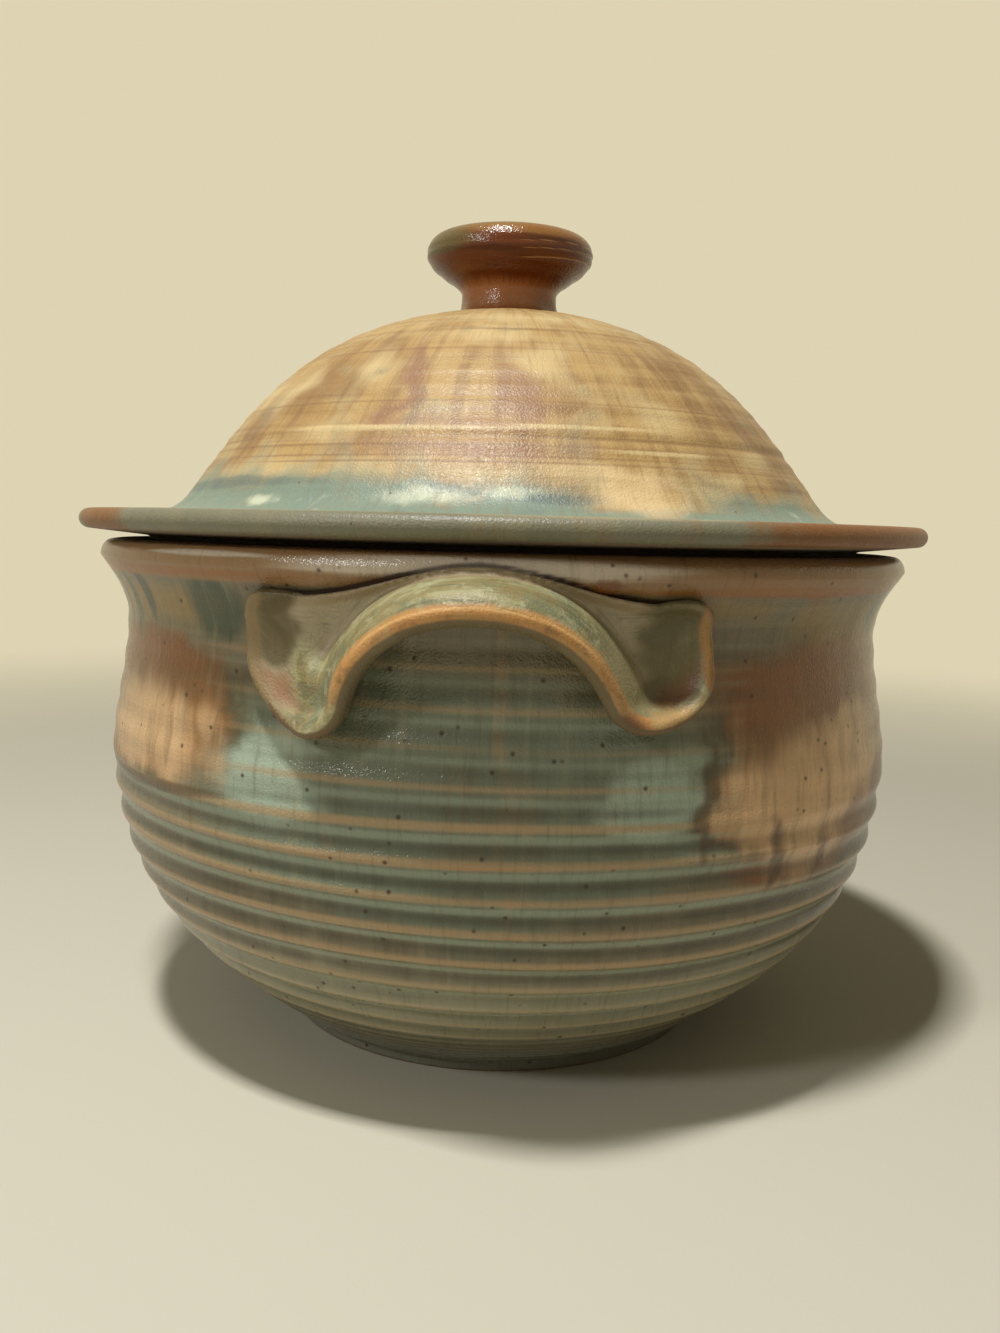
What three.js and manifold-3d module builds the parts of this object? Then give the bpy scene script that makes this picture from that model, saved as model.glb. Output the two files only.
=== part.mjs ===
// Chimney steamer pot: a wheel-thrown stoneware casserole with a steam chimney standing on its
// floor, two pulled strap handles and a loose domed lid with a thrown knob.
// Millimetres, +Z up, standing on z = 0, with the front handle towards -Y.
import * as THREE from "three";
import { mergeVertices } from "three/addons/utils/BufferGeometryUtils.js";
import Module from "manifold-3d";

// Luted joints
const luteGap = 0.3; // slip joint between two pieces stuck together
const wallSink = 3; // how far a handle is made too deep before its back is cut to the wall

// Pot: foot and floor
const footRadius = 75;
const footHeight = 4.5; // trimmed foot, up to where the belly springs
const footRingWidth = 9;
const footBevel = 1;
const footShoulder = 2.5; // ledge from the foot out to the belly
const footRecess = 4.5; // hollow turned out under the floor
const floorThickness = 8;
const floorRadius = 66; // flat of the floor inside, before it turns up
const steamHoleRadius = 18;

// Pot: wall
const wallThickness = 6.5;
const bellyRadius = 136.6;
const bellyHeight = 98;
const neckRadius = 131.3;
const rimRadius = 139.7;
const rimInnerRadius = 122.8;
const rimHeight = 166.3;
const flareHeight = 25.3; // from the neck up to the rim's top
const rimLipHeight = 5.3; // rounding of the outer lip, from its widest point to the flat top
const rimLipWidth = 4.2;
const rimEdgeRadius = 1.2; // rounding of the inner edge that the lid's collar drops past

// Pot: the finger's spiral groove, measured down along the wall from the belly
const ridgePitch = 10.4;
const ridgeDepth = 1.6;
const ridgeTopDistance = 12.9; // first crest below the belly, at the front
const ridgeFade = 12; // the groove fades in and out over this length
const ridgeBottomDistance = 98; // where trimming took the groove away

// Steam chimney
const chimneyTopClearance = 14; // under the rim
const chimneyWall = 6.5;
const chimneyMouthRadius = 6;
const chimneyFlareWidth = 6; // clay pressed out on to the floor all round
const chimneyFlareHeight = 12;
const chimneyLipRadius = 1.6;

// Handles, drawn on the wall unrolled at the neck: round the wall, and down from the rim's top
const archHalfSpan = 33.5;
const archCrestDrop = 12.8;
const archFootDrop = 37.8;
const earHalfSpan = 59;
const earWaistDrop = 29.3; // where the ear's outer arm starts to run straight up
const earTopDrop = 14.5;
const earToeLength = 13.7; // pull of the curve that turns under the ear
const earHollowRise = 10.5; // from the toe's front edge up to the bottom of the ear's hollow
const slabThickness = 2.6; // clay smeared on to the wall round the arch and in the ears
const slabTopDrop = 3.4;
const slabEarDrop = 12.5;

// Handles: how far the strap's front edge stands off the wall along its way
const crestReach = 24.5;
const legReach = 15;
const toeReach = 8;
const waistReach = 6.5;
const armReach = 5.5;

// Handles: the strap's thickness, and its root's width from the front edge to the slab
const crestThickness = 9;
const legThickness = 7.6;
const toeThickness = 6.4;
const armThickness = 5;
const crestRootWidth = 7.5;
const legRootWidth = 11.5;
const toeRootWidth = 6.2;
const armRootWidth = 4.5;

// Handles: how far the root leans over from the front edge, towards the slab on the arch and
// away from it on the ear
const crestLeanWidth = 3;
const legLeanWidth = 4.5;
const toeLeanWidth = 1.2;
const waistLeanWidth = 2.4;
const armLeanWidth = 1.8;

// Lid
const collarClearance = 0.9; // between the lid's collar and the rim's inner edge
const collarDepth = 12;
const collarWidth = 6;
const collarTaper = 1.2;
const collarRootRadius = 4;
const collarEdgeRadius = 1.5;
const flangeRadius = 146;
const flangeGap = 1.3; // over the rim, where the flange's underside leaves the collar's root
const flangeRise = 1.8; // the flange's underside rises this much on its way out
const flangeThickness = 6.4;
const domeSpringRadius = 119.5;
const domeShoulderRadius = 107.6;
const domeShoulderRise = 11.2; // above the flange's top
const domeShoulderLean = THREE.MathUtils.degToRad(38); // inwards from upright
const domeRise = 72.3;
const lidThickness = 6.2;

// Knob
const knobBaseRadius = 18.6;
const knobWaistRadius = 16.9;
const knobWaistRise = 6.2;
const knobRadius = 29.5;
const knobWidestRise = 19.9;
const knobHeight = 26.4;
const knobTopRadius = 23.5;
const knobDish = 1.6;

// Facets
const roundSides = 48;
const knobSides = 32;
const chimneySides = 24;
const ringsPerRidge = 4;

// Plain steps worked out from the sizes above
const floorTop = footRecess + floorThickness;
const neckHeight = rimHeight - flareHeight;
const lipBottom = rimHeight - rimLipHeight;
const flangeUnderside = rimHeight + flangeGap;
const flangeEdgeRadius = flangeThickness / 2;
const flangeMiddle = flangeUnderside + flangeRise + flangeEdgeRadius;
const flangeTop = flangeMiddle + flangeEdgeRadius;
const collarRadius = rimInnerRadius - collarClearance;
const collarInnerRadius = collarRadius - collarWidth;
const collarBottom = flangeUnderside - collarDepth;
const domeTop = flangeTop + domeRise;

const v2 = (x, y) => new THREE.Vector2(x, y);

// A smooth outline from one point to another, pulled by a handle at each end.
function outline(start, startPull, endPull, end) {
  return new THREE.CubicBezierCurve(start, startPull, endPull, end);
}

// Quarter of an ellipse from one point to another, leaving the first one upright.
function quarterRound(start, end, steps) {
  const points = [];
  for (let i = 0; i <= steps; i++) {
    const turn = (i / steps) * Math.PI / 2;
    points.push(v2(end.x + (start.x - end.x) * Math.cos(turn), start.y + (end.y - start.y) * Math.sin(turn)));
  }
  return points;
}

// Joins stretches of outline, dropping a point that repeats the one before it.
function joined(...stretches) {
  const points = [];
  for (const point of stretches.flat()) {
    const last = points[points.length - 1];
    if (!last || last.distanceTo(point) > luteGap / 100) points.push(point);
  }
  return points;
}

// Height along the axis of an outline where it crosses a radius.
function heightAtRadius(points, radius) {
  for (let i = 1; i < points.length; i++) {
    const [a, b] = [points[i - 1], points[i]];
    if ((a.x - radius) * (b.x - radius) <= 0 && a.x !== b.x) {
      return a.y + ((b.y - a.y) * (radius - a.x)) / (b.x - a.x);
    }
  }
  return points[points.length - 1].y;
}

// Radius of an outline at a height along the axis.
function radiusAtHeight(points, height) {
  for (let i = 1; i < points.length; i++) {
    const [a, b] = [points[i - 1], points[i]];
    if ((a.y - height) * (b.y - height) <= 0 && a.y !== b.y) {
      return a.x + ((b.x - a.x) * (height - a.y)) / (b.y - a.y);
    }
  }
  return points[points.length - 1].x;
}

// Turns an outline (radius, height) about the pot's upright axis.
function turned(points, sides) {
  return new THREE.LatheGeometry(points, sides).rotateX(Math.PI / 2);
}

function piece(name, geometry, colour, roughness) {
  const material = new THREE.MeshStandardMaterial({ color: colour, roughness, metalness: 0 });
  const mesh = new THREE.Mesh(geometry, material);
  mesh.name = name;
  return mesh;
}

// Solid of a closed mesh: shared points merged, and the empty triangles at a turned pole left out.
const wasm = await Module();
wasm.setup();

function solid(geometry) {
  const bare = geometry.clone();
  bare.deleteAttribute("normal");
  bare.deleteAttribute("uv");
  const merged = mergeVertices(bare);
  const index = merged.getIndex().array;
  const kept = [];
  for (let i = 0; i < index.length; i += 3) {
    const [a, b, c] = [index[i], index[i + 1], index[i + 2]];
    if (a !== b && b !== c && c !== a) kept.push(a, b, c);
  }
  const vertProperties = new Float32Array(merged.getAttribute("position").array);
  return new wasm.Manifold(new wasm.Mesh({ numProp: 3, vertProperties, triVerts: new Uint32Array(kept) }));
}

function geometryOf(body) {
  const { vertProperties, triVerts } = body.getMesh();
  const geometry = new THREE.BufferGeometry();
  geometry.setAttribute("position", new THREE.BufferAttribute(new Float32Array(vertProperties), 3));
  geometry.setIndex(new THREE.BufferAttribute(new Uint32Array(triVerts), 1));
  return geometry;
}

// Outer wall: belly from the foot to its widest, up to the neck, and out to the rolled lip.
const footTop = v2(footRadius + footShoulder, footHeight);
const belly = v2(bellyRadius, bellyHeight);
const neck = v2(neckRadius, neckHeight);
const lip = v2(rimRadius, lipBottom);
const lowerPullShares = [0.4, 0.19];
const bellyPullShare = 0.57;
const upperPullShares = [0.23, 0.3];
const flarePullShares = [0.48, 0.66, 0.76];

const lowerWall = outline(
  footTop,
  v2(
    footTop.x + (belly.x - footTop.x) * lowerPullShares[0],
    footTop.y + (belly.y - footTop.y) * lowerPullShares[1],
  ),
  v2(belly.x, belly.y - (belly.y - footTop.y) * bellyPullShare),
  belly,
);
const upperWall = outline(
  belly,
  v2(belly.x, belly.y + (neck.y - belly.y) * upperPullShares[0]),
  v2(neck.x, neck.y - (neck.y - belly.y) * upperPullShares[1]),
  neck,
);
const flare = outline(
  neck,
  v2(neck.x, neck.y + (lip.y - neck.y) * flarePullShares[0]),
  v2(neck.x + (lip.x - neck.x) * flarePullShares[1], neck.y + (lip.y - neck.y) * flarePullShares[2]),
  lip,
);

// Rings of the lower wall lie close together where the groove runs, and the wall as turned goes
// through them up to the top of the rim.
const lowerLength = lowerWall.getLength();
const grooveRings = Math.round((ridgeBottomDistance / ridgePitch) * ringsPerRidge);
const plainShare = 1 - ridgeBottomDistance / lowerLength;
const lowerShares = [0, plainShare / 2];
for (let i = 0; i <= grooveRings; i++) lowerShares.push(plainShare + (1 - plainShare) * (i / grooveRings));
const lowerRings = lowerShares.map((share) => lowerWall.getPointAt(share));
const wallOutline = joined(
  lowerRings,
  upperWall.getSpacedPoints(5),
  flare.getSpacedPoints(5),
  quarterRound(lip, v2(rimRadius - rimLipWidth, rimHeight), 3),
);

// The pot's body is thrown with its wall and floor in one, and its foot is trimmed out later.
// One groove spirals up the belly: the finger climbs one pitch for each turn of the wheel.
function potBody() {
  const edge = quarterRound(
    v2(rimInnerRadius, rimHeight - rimEdgeRadius), v2(rimInnerRadius + rimEdgeRadius, rimHeight), 2,
  ).reverse();
  const innerBelly = v2(bellyRadius - wallThickness, bellyHeight);
  const innerNeck = v2(neckRadius - wallThickness, neckHeight);
  const innerNeckDrop = (innerNeck.y - innerBelly.y) * upperPullShares[1];
  const innerWall = outline(
    innerNeck,
    v2(innerNeck.x, innerNeck.y - innerNeckDrop),
    v2(innerBelly.x, innerBelly.y + (innerNeck.y - innerBelly.y) * upperPullShares[0]),
    innerBelly,
  );
  const bowlPullShares = [0.57, 0.52, 0.02];
  const bowl = outline(
    innerBelly,
    v2(innerBelly.x, innerBelly.y - (innerBelly.y - floorTop) * bowlPullShares[0]),
    v2(
      floorRadius + (innerBelly.x - floorRadius) * bowlPullShares[1],
      floorTop + (innerBelly.y - floorTop) * bowlPullShares[2],
    ),
    v2(floorRadius, floorTop),
  );
  const footInner = footRadius - footRingWidth;
  const points = joined(
    [v2(footRadius - footBevel, 0), v2(footRadius, footBevel), v2(footRadius, footHeight)],
    wallOutline,
    edge,
    innerWall.getSpacedPoints(3),
    bowl.getSpacedPoints(9),
    [v2(steamHoleRadius, floorTop), v2(steamHoleRadius, footRecess)],
    [v2(footInner, footRecess), v2(footInner + footBevel, 0)],
  );
  points.push(points[0].clone());
  const geometry = new THREE.LatheGeometry(points, roundSides);

  const position = geometry.getAttribute("position");
  const firstRing = points.indexOf(lowerRings[0]);
  lowerShares.forEach((share, i) => {
    const along = lowerLength * (1 - share);
    const tangent = lowerWall.getTangentAt(share);
    const faded = THREE.MathUtils.smoothstep(along, 0, ridgeFade)
      * (1 - THREE.MathUtils.smoothstep(along, ridgeBottomDistance - ridgeFade, ridgeBottomDistance));
    for (let side = 0; side <= roundSides; side++) {
      const turn = side / roundSides;
      const phase = (along - ridgeTopDistance) / ridgePitch - turn;
      const depth = faded * ridgeDepth * (1 - Math.cos(2 * Math.PI * phase)) / 2;
      const at = side * points.length + firstRing + i;
      const radius = lowerRings[i].x - depth * tangent.y;
      const angle = 2 * Math.PI * turn;
      const height = lowerRings[i].y + depth * tangent.x;
      position.setXYZ(at, radius * Math.sin(angle), height, radius * Math.cos(angle));
    }
  });
  return geometry.rotateX(Math.PI / 2);
}

// The chimney is a thrown cone, luted over the hole in the floor and open at both ends.
function steamChimney() {
  const base = floorTop + luteGap;
  const top = rimHeight - chimneyTopClearance;
  const baseRadius = steamHoleRadius + chimneyWall;
  const topRadius = chimneyMouthRadius + chimneyWall;
  const flareTop = v2(baseRadius, base + chimneyFlareHeight);
  const waistShare = 0.5;
  const waistHeight = flareTop.y + (top - flareTop.y) * waistShare;
  const shinHeight = flareTop.y + (top - flareTop.y) * waistShare * waistShare;
  const cone = outline(
    flareTop,
    v2(baseRadius + (topRadius - baseRadius) * waistShare, shinHeight),
    v2(topRadius, waistHeight),
    v2(topRadius, top - chimneyLipRadius),
  );
  const bore = outline(
    v2(chimneyMouthRadius, top - chimneyLipRadius),
    v2(chimneyMouthRadius, waistHeight),
    v2(steamHoleRadius + (chimneyMouthRadius - steamHoleRadius) * waistShare, shinHeight),
    v2(steamHoleRadius, base),
  );
  const points = joined(
    quarterRound(flareTop, v2(baseRadius + chimneyFlareWidth, base), 3).reverse(),
    cone.getSpacedPoints(6),
    [v2(topRadius - chimneyLipRadius, top), v2(chimneyMouthRadius + chimneyLipRadius, top)],
    bore.getSpacedPoints(6),
  );
  points.push(points[0].clone());
  return turned(points, chimneySides);
}

// Strap handle. Its front edge is one line on the unrolled wall: over the arch, down the leg,
// round the toe and up the outer arm of the ear. A section is carried along that line.
const archCrest = v2(0, rimHeight - archCrestDrop);
const archFoot = v2(archHalfSpan, rimHeight - archFootDrop);
const earWaist = v2(earHalfSpan, rimHeight - earWaistDrop);
const earTop = v2(earHalfSpan, rimHeight - earTopDrop);
const archPullShares = [0.51, 0.15, 0.54];
const legPull = v2(archHalfSpan * archPullShares[1], (archFoot.y - archCrest.y) * archPullShares[2]);
const archLine = outline(
  archCrest, v2(archHalfSpan * archPullShares[0], archCrest.y), archFoot.clone().sub(legPull), archFoot,
);
const toeLine = outline(
  archFoot,
  archFoot.clone().add(legPull.clone().setLength(earToeLength)),
  v2(earWaist.x, earWaist.y - earToeLength),
  earWaist,
);
const armLine = new THREE.LineCurve(earWaist, earTop);

// The slab's top edge runs from the middle of the arch out to the middle of the ear, and from
// there the slab of the leg and the slab of the outer arm meet down a seam.
const seamTop = v2((archHalfSpan + legLeanWidth + earHalfSpan) / 2, rimHeight - slabEarDrop);
const seamBottom = v2(seamTop.x, toeLine.getPoint(0.5).y + earHollowRise);
const slabTop = v2(0, rimHeight - slabTopDrop);
const slabPullShares = [0.35, 0.7, 0.34];
const slabEdge = outline(
  slabTop,
  v2(seamTop.x * slabPullShares[0], slabTop.y),
  v2(seamTop.x * slabPullShares[1], seamTop.y + (slabTop.y - seamTop.y) * slabPullShares[2]),
  seamTop,
);

// Stations along each stretch of the line, and how far down the seam each of the later ones
// reaches.
const archShares = [0, 0.13, 0.27, 0.4, 0.53, 0.65, 0.76, 0.86, 0.94];
const toeShares = [0, 0.2, 0.37, 0.5, 0.63, 0.8];
const armShares = [0, 0.5, 1];
const seamShares = [0, 0.25, 0.5, 0.75, 0.92, 1, 0.92, 0.75, 0.5, 0.25, 0];

// Sizes of the strap's section at the crest, the leg's foot, the toe, the ear's waist and its top.
const reaches = [crestReach, legReach, toeReach, waistReach, armReach];
const thicknesses = [crestThickness, legThickness, toeThickness, armThickness, armThickness];
const leans = [crestLeanWidth, legLeanWidth, -toeLeanWidth, -waistLeanWidth, -armLeanWidth];
const roots = [crestRootWidth, legRootWidth, toeRootWidth, armRootWidth, armRootWidth];

function strapStations() {
  const stations = [];
  const add = (line, share, from, blend) => {
    const tangent = line.getTangentAt(share);
    const between = (sizes) => THREE.MathUtils.lerp(sizes[from], sizes[from + 1], blend);
    stations.push({
      at: line.getPointAt(share),
      normal: v2(-tangent.y, tangent.x),
      reach: between(reaches),
      thickness: between(thicknesses),
      lean: between(leans),
      root: between(roots),
    });
  };
  for (const share of archShares) add(archLine, share, 0, share * share);
  for (const share of toeShares) add(toeLine, share, share < 0.5 ? 1 : 2, (share * 2) % 1);
  for (const share of armShares) add(armLine, share, 3, share);
  const firstSeam = stations.length - seamShares.length;
  stations.forEach((station, i) => {
    station.seam = i >= firstSeam;
    station.edge = station.seam
      ? seamTop.clone().lerp(seamBottom, seamShares[i - firstSeam])
      : slabEdge.getPointAt(i / firstSeam);
  });
  return stations;
}

// One station's section: from the root of its inner face out over the rounded front edge, back
// down its outer face, across the slab to the slab's edge, and home behind the wall's face.
const slabEdgeStep = 10;

function strapSection({ at, normal, reach, thickness, lean, root, edge }) {
  const half = thickness / 2;
  const place = (offset, out) => ({ on: at.clone().addScaledVector(normal, offset), out });
  const innerRoot = place(lean - half, -wallSink);
  const outerRoot = place(root, slabThickness);
  const edgeShares = [0.6, 0.22];
  const outerShare = 0.4;
  return [
    innerRoot,
    place(lean / 2 - half, reach / 2),
    place(-half, reach - half),
    place(-half * edgeShares[0], reach - half * edgeShares[1]),
    place(0, reach),
    place(half * edgeShares[0], reach - half * edgeShares[1]),
    place(half, reach - half),
    place(half + (root - half) * outerShare, slabThickness + (reach - slabThickness) * outerShare),
    outerRoot,
    { on: outerRoot.on.clone().lerp(edge, 0.5), out: slabThickness },
    { on: edge.clone(), out: slabThickness },
    { on: edge.clone(), out: -wallSink },
    { on: edge.clone().lerp(innerRoot.on, 0.5), out: -wallSink },
  ];
}

// A place on the handle: so far round the wall and up it, and so far out from it.
function onWall(around, height, out) {
  const radius = radiusAtHeight(wallOutline, height) + out;
  const angle = around / neckRadius;
  return [radius * Math.sin(angle), -radius * Math.cos(angle), height];
}

function strapGeometry() {
  const stations = strapStations();
  const sections = stations.map(strapSection);
  const last = stations.length - 1;
  const count = sections[0].length;
  const vertices = [];
  for (let k = -last; k <= last; k++) {
    for (const { on, out } of sections[Math.abs(k)]) vertices.push(...onWall(on.x * Math.sign(k), on.y, out));
  }
  const faces = [];
  const index = (k, j) => (k + last) * count + (j % count);
  for (let k = -last; k < last; k++) {
    const onSeam = stations[Math.abs(k)].seam && stations[Math.abs(k + 1)].seam;
    for (let j = 0; j < count; j++) {
      if (onSeam && j === slabEdgeStep) continue;
      faces.push(index(k, j), index(k + 1, j), index(k + 1, j + 1));
      faces.push(index(k, j), index(k + 1, j + 1), index(k, j + 1));
    }
  }
  const end = stations[last];
  const flat = sections[last].map(({ on, out }) => v2(on.clone().sub(end.at).dot(end.normal), out));
  for (const [a, b, c] of THREE.ShapeUtils.triangulateShape(flat, [])) {
    faces.push(index(last, a), index(last, b), index(last, c));
    faces.push(index(-last, a), index(-last, c), index(-last, b));
  }
  const geometry = new THREE.BufferGeometry();
  geometry.setAttribute("position", new THREE.Float32BufferAttribute(vertices, 3));
  geometry.setIndex(faces);
  return geometry;
}

// The back of a handle is the wall itself, one luted joint away.
function strapHandle() {
  const grown = wallOutline.map((point) => v2(point.x + luteGap, point.y));
  const core = joined([v2(0, footHeight)], grown, [v2(0, rimHeight)]);
  return geometryOf(solid(strapGeometry()).subtract(solid(turned(core, roundSides))));
}

// Lid, thrown upside down as a bowl whose rim is split: the outer half lies out as the flange and
// the inner half stands as the collar that drops inside the pot's rim.
const steep = v2(-Math.sin(domeShoulderLean), Math.cos(domeShoulderLean));
const domePullShares = [0.41, 0.65];

function domeCurve(shoulder, top) {
  return outline(
    shoulder,
    shoulder.clone().addScaledVector(steep, (top - shoulder.y) * domePullShares[0]),
    v2(shoulder.x * domePullShares[1], top),
    v2(0, top),
  );
}

const shoulder = v2(domeShoulderRadius, flangeTop + domeShoulderRise);
const domeOutline = domeCurve(shoulder, domeTop).getSpacedPoints(9);

function lid() {
  const innerShoulder = shoulder.clone().addScaledVector(v2(-steep.y, steep.x), lidThickness);
  const innerDome = domeCurve(innerShoulder, domeTop - lidThickness).getSpacedPoints(7).reverse();
  const innerSpring = v2(collarInnerRadius, flangeUnderside);
  const innerSpringPull = (innerShoulder.y - innerSpring.y) / 3;
  const innerWall = outline(
    innerShoulder,
    innerShoulder.clone().addScaledVector(steep, -innerSpringPull),
    v2(innerSpring.x, innerSpring.y + innerSpringPull),
    innerSpring,
  );
  const spring = v2(domeSpringRadius, flangeTop);
  const springPullShares = [0.47, 0.12, 0.31, 0.52];
  const springCurve = outline(
    spring,
    v2(
      spring.x + (shoulder.x - spring.x) * springPullShares[0],
      spring.y + (shoulder.y - spring.y) * springPullShares[1],
    ),
    v2(
      shoulder.x + (spring.x - shoulder.x) * springPullShares[2],
      shoulder.y + (spring.y - shoulder.y) * springPullShares[3],
    ),
    shoulder,
  );
  const edgeHeight = collarBottom + collarEdgeRadius;
  const collarOuter = collarRadius - collarTaper;
  const flangeEdge = v2(flangeRadius, flangeMiddle);
  const flangeInner = flangeRadius - flangeEdgeRadius;
  const points = joined(
    innerDome,
    innerWall.getSpacedPoints(3),
    quarterRound(v2(collarInnerRadius, edgeHeight), v2(collarInnerRadius + collarEdgeRadius, collarBottom), 2),
    quarterRound(v2(collarOuter, edgeHeight), v2(collarOuter - collarEdgeRadius, collarBottom), 2).reverse(),
    quarterRound(
      v2(collarRadius, flangeUnderside - collarRootRadius),
      v2(collarRadius + collarRootRadius, flangeUnderside),
      4,
    ),
    quarterRound(flangeEdge, v2(flangeInner, flangeMiddle - flangeEdgeRadius), 3).reverse(),
    quarterRound(flangeEdge, v2(flangeInner, flangeTop), 3),
    springCurve.getSpacedPoints(4),
    domeOutline,
  );
  return geometryOf(solid(turned(points, roundSides)));
}

// Knob, thrown on the trimmed lid: a narrow neck opening to a wide rounded disc, dished on top.
function lidKnob() {
  const footOutline = domeOutline.filter((point) => point.x < knobBaseRadius).reverse();
  const base = v2(knobBaseRadius, heightAtRadius(domeOutline, knobBaseRadius));
  const bottom = [...footOutline, base].map((point) => v2(point.x, point.y + luteGap));
  const waist = v2(knobWaistRadius, domeTop + knobWaistRise);
  const widest = v2(knobRadius, domeTop + knobWidestRise);
  const top = domeTop + knobHeight;
  const neckPullShares = [0.35, 0.6];
  const flarePulls = [0.29, 0.47];
  const foot = bottom[bottom.length - 1];
  const neckCurve = outline(
    foot,
    v2(waist.x, foot.y + (waist.y - foot.y) * neckPullShares[0]),
    v2(waist.x, foot.y + (waist.y - foot.y) * neckPullShares[1]),
    waist,
  );
  const flareCurve = outline(
    waist,
    v2(waist.x, waist.y + (widest.y - waist.y) * flarePulls[0]),
    v2(widest.x, widest.y - (widest.y - waist.y) * flarePulls[1]),
    widest,
  );
  const dishShare = 0.7;
  const points = joined(
    bottom,
    neckCurve.getSpacedPoints(2),
    flareCurve.getSpacedPoints(5),
    quarterRound(widest, v2(knobTopRadius, top), 3),
    [v2(knobTopRadius / 2, top - knobDish * dishShare), v2(0, top - knobDish)],
  );
  return geometryOf(solid(turned(points, knobSides)));
}

const group = new THREE.Group();
group.add(piece("pot_body", potBody(), 0x7d7a63, 0.35));
group.add(piece("steam_chimney", steamChimney(), 0x8a8468, 0.4));
const strap = strapHandle();
group.add(piece("front_handle", strap, 0x8f6b4a, 0.35));
group.add(piece("rear_handle", strap.clone().rotateZ(Math.PI), 0x8f6b4a, 0.35));
group.add(piece("lid", lid(), 0x9b8a5e, 0.3));
group.add(piece("lid_knob", lidKnob(), 0x8a5a3c, 0.25));

export default group;
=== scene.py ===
import bmesh
import bpy
import numpy as np
from mathutils import Matrix, Vector


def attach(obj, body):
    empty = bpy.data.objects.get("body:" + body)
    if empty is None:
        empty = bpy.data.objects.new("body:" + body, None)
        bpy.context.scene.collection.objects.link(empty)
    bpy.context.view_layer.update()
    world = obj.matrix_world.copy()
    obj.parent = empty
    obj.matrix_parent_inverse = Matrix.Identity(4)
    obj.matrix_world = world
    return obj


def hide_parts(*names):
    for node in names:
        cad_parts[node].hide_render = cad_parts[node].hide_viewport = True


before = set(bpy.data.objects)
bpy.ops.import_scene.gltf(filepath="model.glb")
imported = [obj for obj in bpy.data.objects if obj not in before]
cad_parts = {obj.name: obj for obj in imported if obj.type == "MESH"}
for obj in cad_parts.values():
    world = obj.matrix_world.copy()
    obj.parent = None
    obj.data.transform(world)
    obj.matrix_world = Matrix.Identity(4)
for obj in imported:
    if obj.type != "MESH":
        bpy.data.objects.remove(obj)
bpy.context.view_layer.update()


# Pot body. Thrown in one from grogged stoneware, with a finger's spiral groove left on the belly
# and a foot ring trimmed out once leather-hard, then dipped in two overlapping glazes: an olive
# one that goes teal where it pools and an iron one that breaks to peach where it runs thin.
mm = 0.001


def lengths(line):
    """How far along a line each of its points lies from its start."""
    return np.concatenate([[0], np.cumsum(np.hypot(*np.diff(line, axis=0).T))])


def bend(start, start_pull, end_pull, end, step):
    """Smooth line from start to end, drawn towards a pull at each end: the cubic Bezier curve
    (1-t)^3 A + 3(1-t)^2 t B + 3(1-t) t^2 C + t^3 D, cut into equal lengths of about one step."""
    t = np.linspace(0, 1, 500)[:, None]
    a, b, c, d = (np.asarray(point, float) for point in (start, start_pull, end_pull, end))
    line = (1 - t) ** 3 * a + 3 * (1 - t) ** 2 * t * b + 3 * (1 - t) * t**2 * c + t**3 * d
    length = lengths(line)
    even = np.linspace(0, length[-1], max(2, round(length[-1] / step)) + 1)
    return np.column_stack([np.interp(even, length, line[:, k]) for k in range(2)])


def straight(start, end, step):
    """Points at equal steps on the line from start to end: A + t (B - A)."""
    count = max(1, round(np.hypot(end[0] - start[0], end[1] - start[1]) / step))
    return np.linspace(start, end, count + 1)


def quarter(start, end, count=4):
    """Quarter of an ellipse that leaves start upright and meets end level:
    radius = Bx + (Ax - Bx) cos t, height = Ay + (By - Ay) sin t."""
    t = np.linspace(0, np.pi / 2, count + 1)
    radius = end[0] + (start[0] - end[0]) * np.cos(t)
    height = start[1] + (end[1] - start[1]) * np.sin(t)
    return np.column_stack([radius, height])


def chain(*stretches):
    """The stretches end to end, without a point that repeats the one before it."""
    points = np.vstack(stretches)
    step = np.hypot(*np.diff(points, axis=0).T)
    return points[np.concatenate([[True], step > 0.01])]


def outward(outline, closed):
    """Unit normals of an outline that runs anticlockwise: its tangent (r', z') turned to (z', -r')."""
    if closed:
        tangent = np.roll(outline, -1, axis=0) - np.roll(outline, 1, axis=0)
    else:
        tangent = np.gradient(outline, axis=0)
    tangent /= np.hypot(*tangent.T)[:, None]
    return np.column_stack([tangent[:, 1], -tangent[:, 0]])


def mesh_piece(name, points, faces, fields, way=None):
    """Puts points in millimetres, faces and one float per point for each field into an object, and
    the way that runs of glaze follow, one place in metres per point, where it has one."""
    mesh = bpy.data.meshes.new(name)
    mesh.from_pydata((points * mm).tolist(), [], faces.tolist())
    for field, values in fields.items():
        attribute = mesh.attributes.new(field, "FLOAT", "POINT")
        attribute.data.foreach_set("value", values.astype(np.float32).ravel())
    if way is not None:
        attribute = mesh.attributes.new("way", "FLOAT_VECTOR", "POINT")
        attribute.data.foreach_set("vector", way.astype(np.float32).ravel())
    mesh.shade_smooth()
    piece = bpy.data.objects.new(name, mesh)
    bpy.context.collection.objects.link(piece)
    return piece


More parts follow.
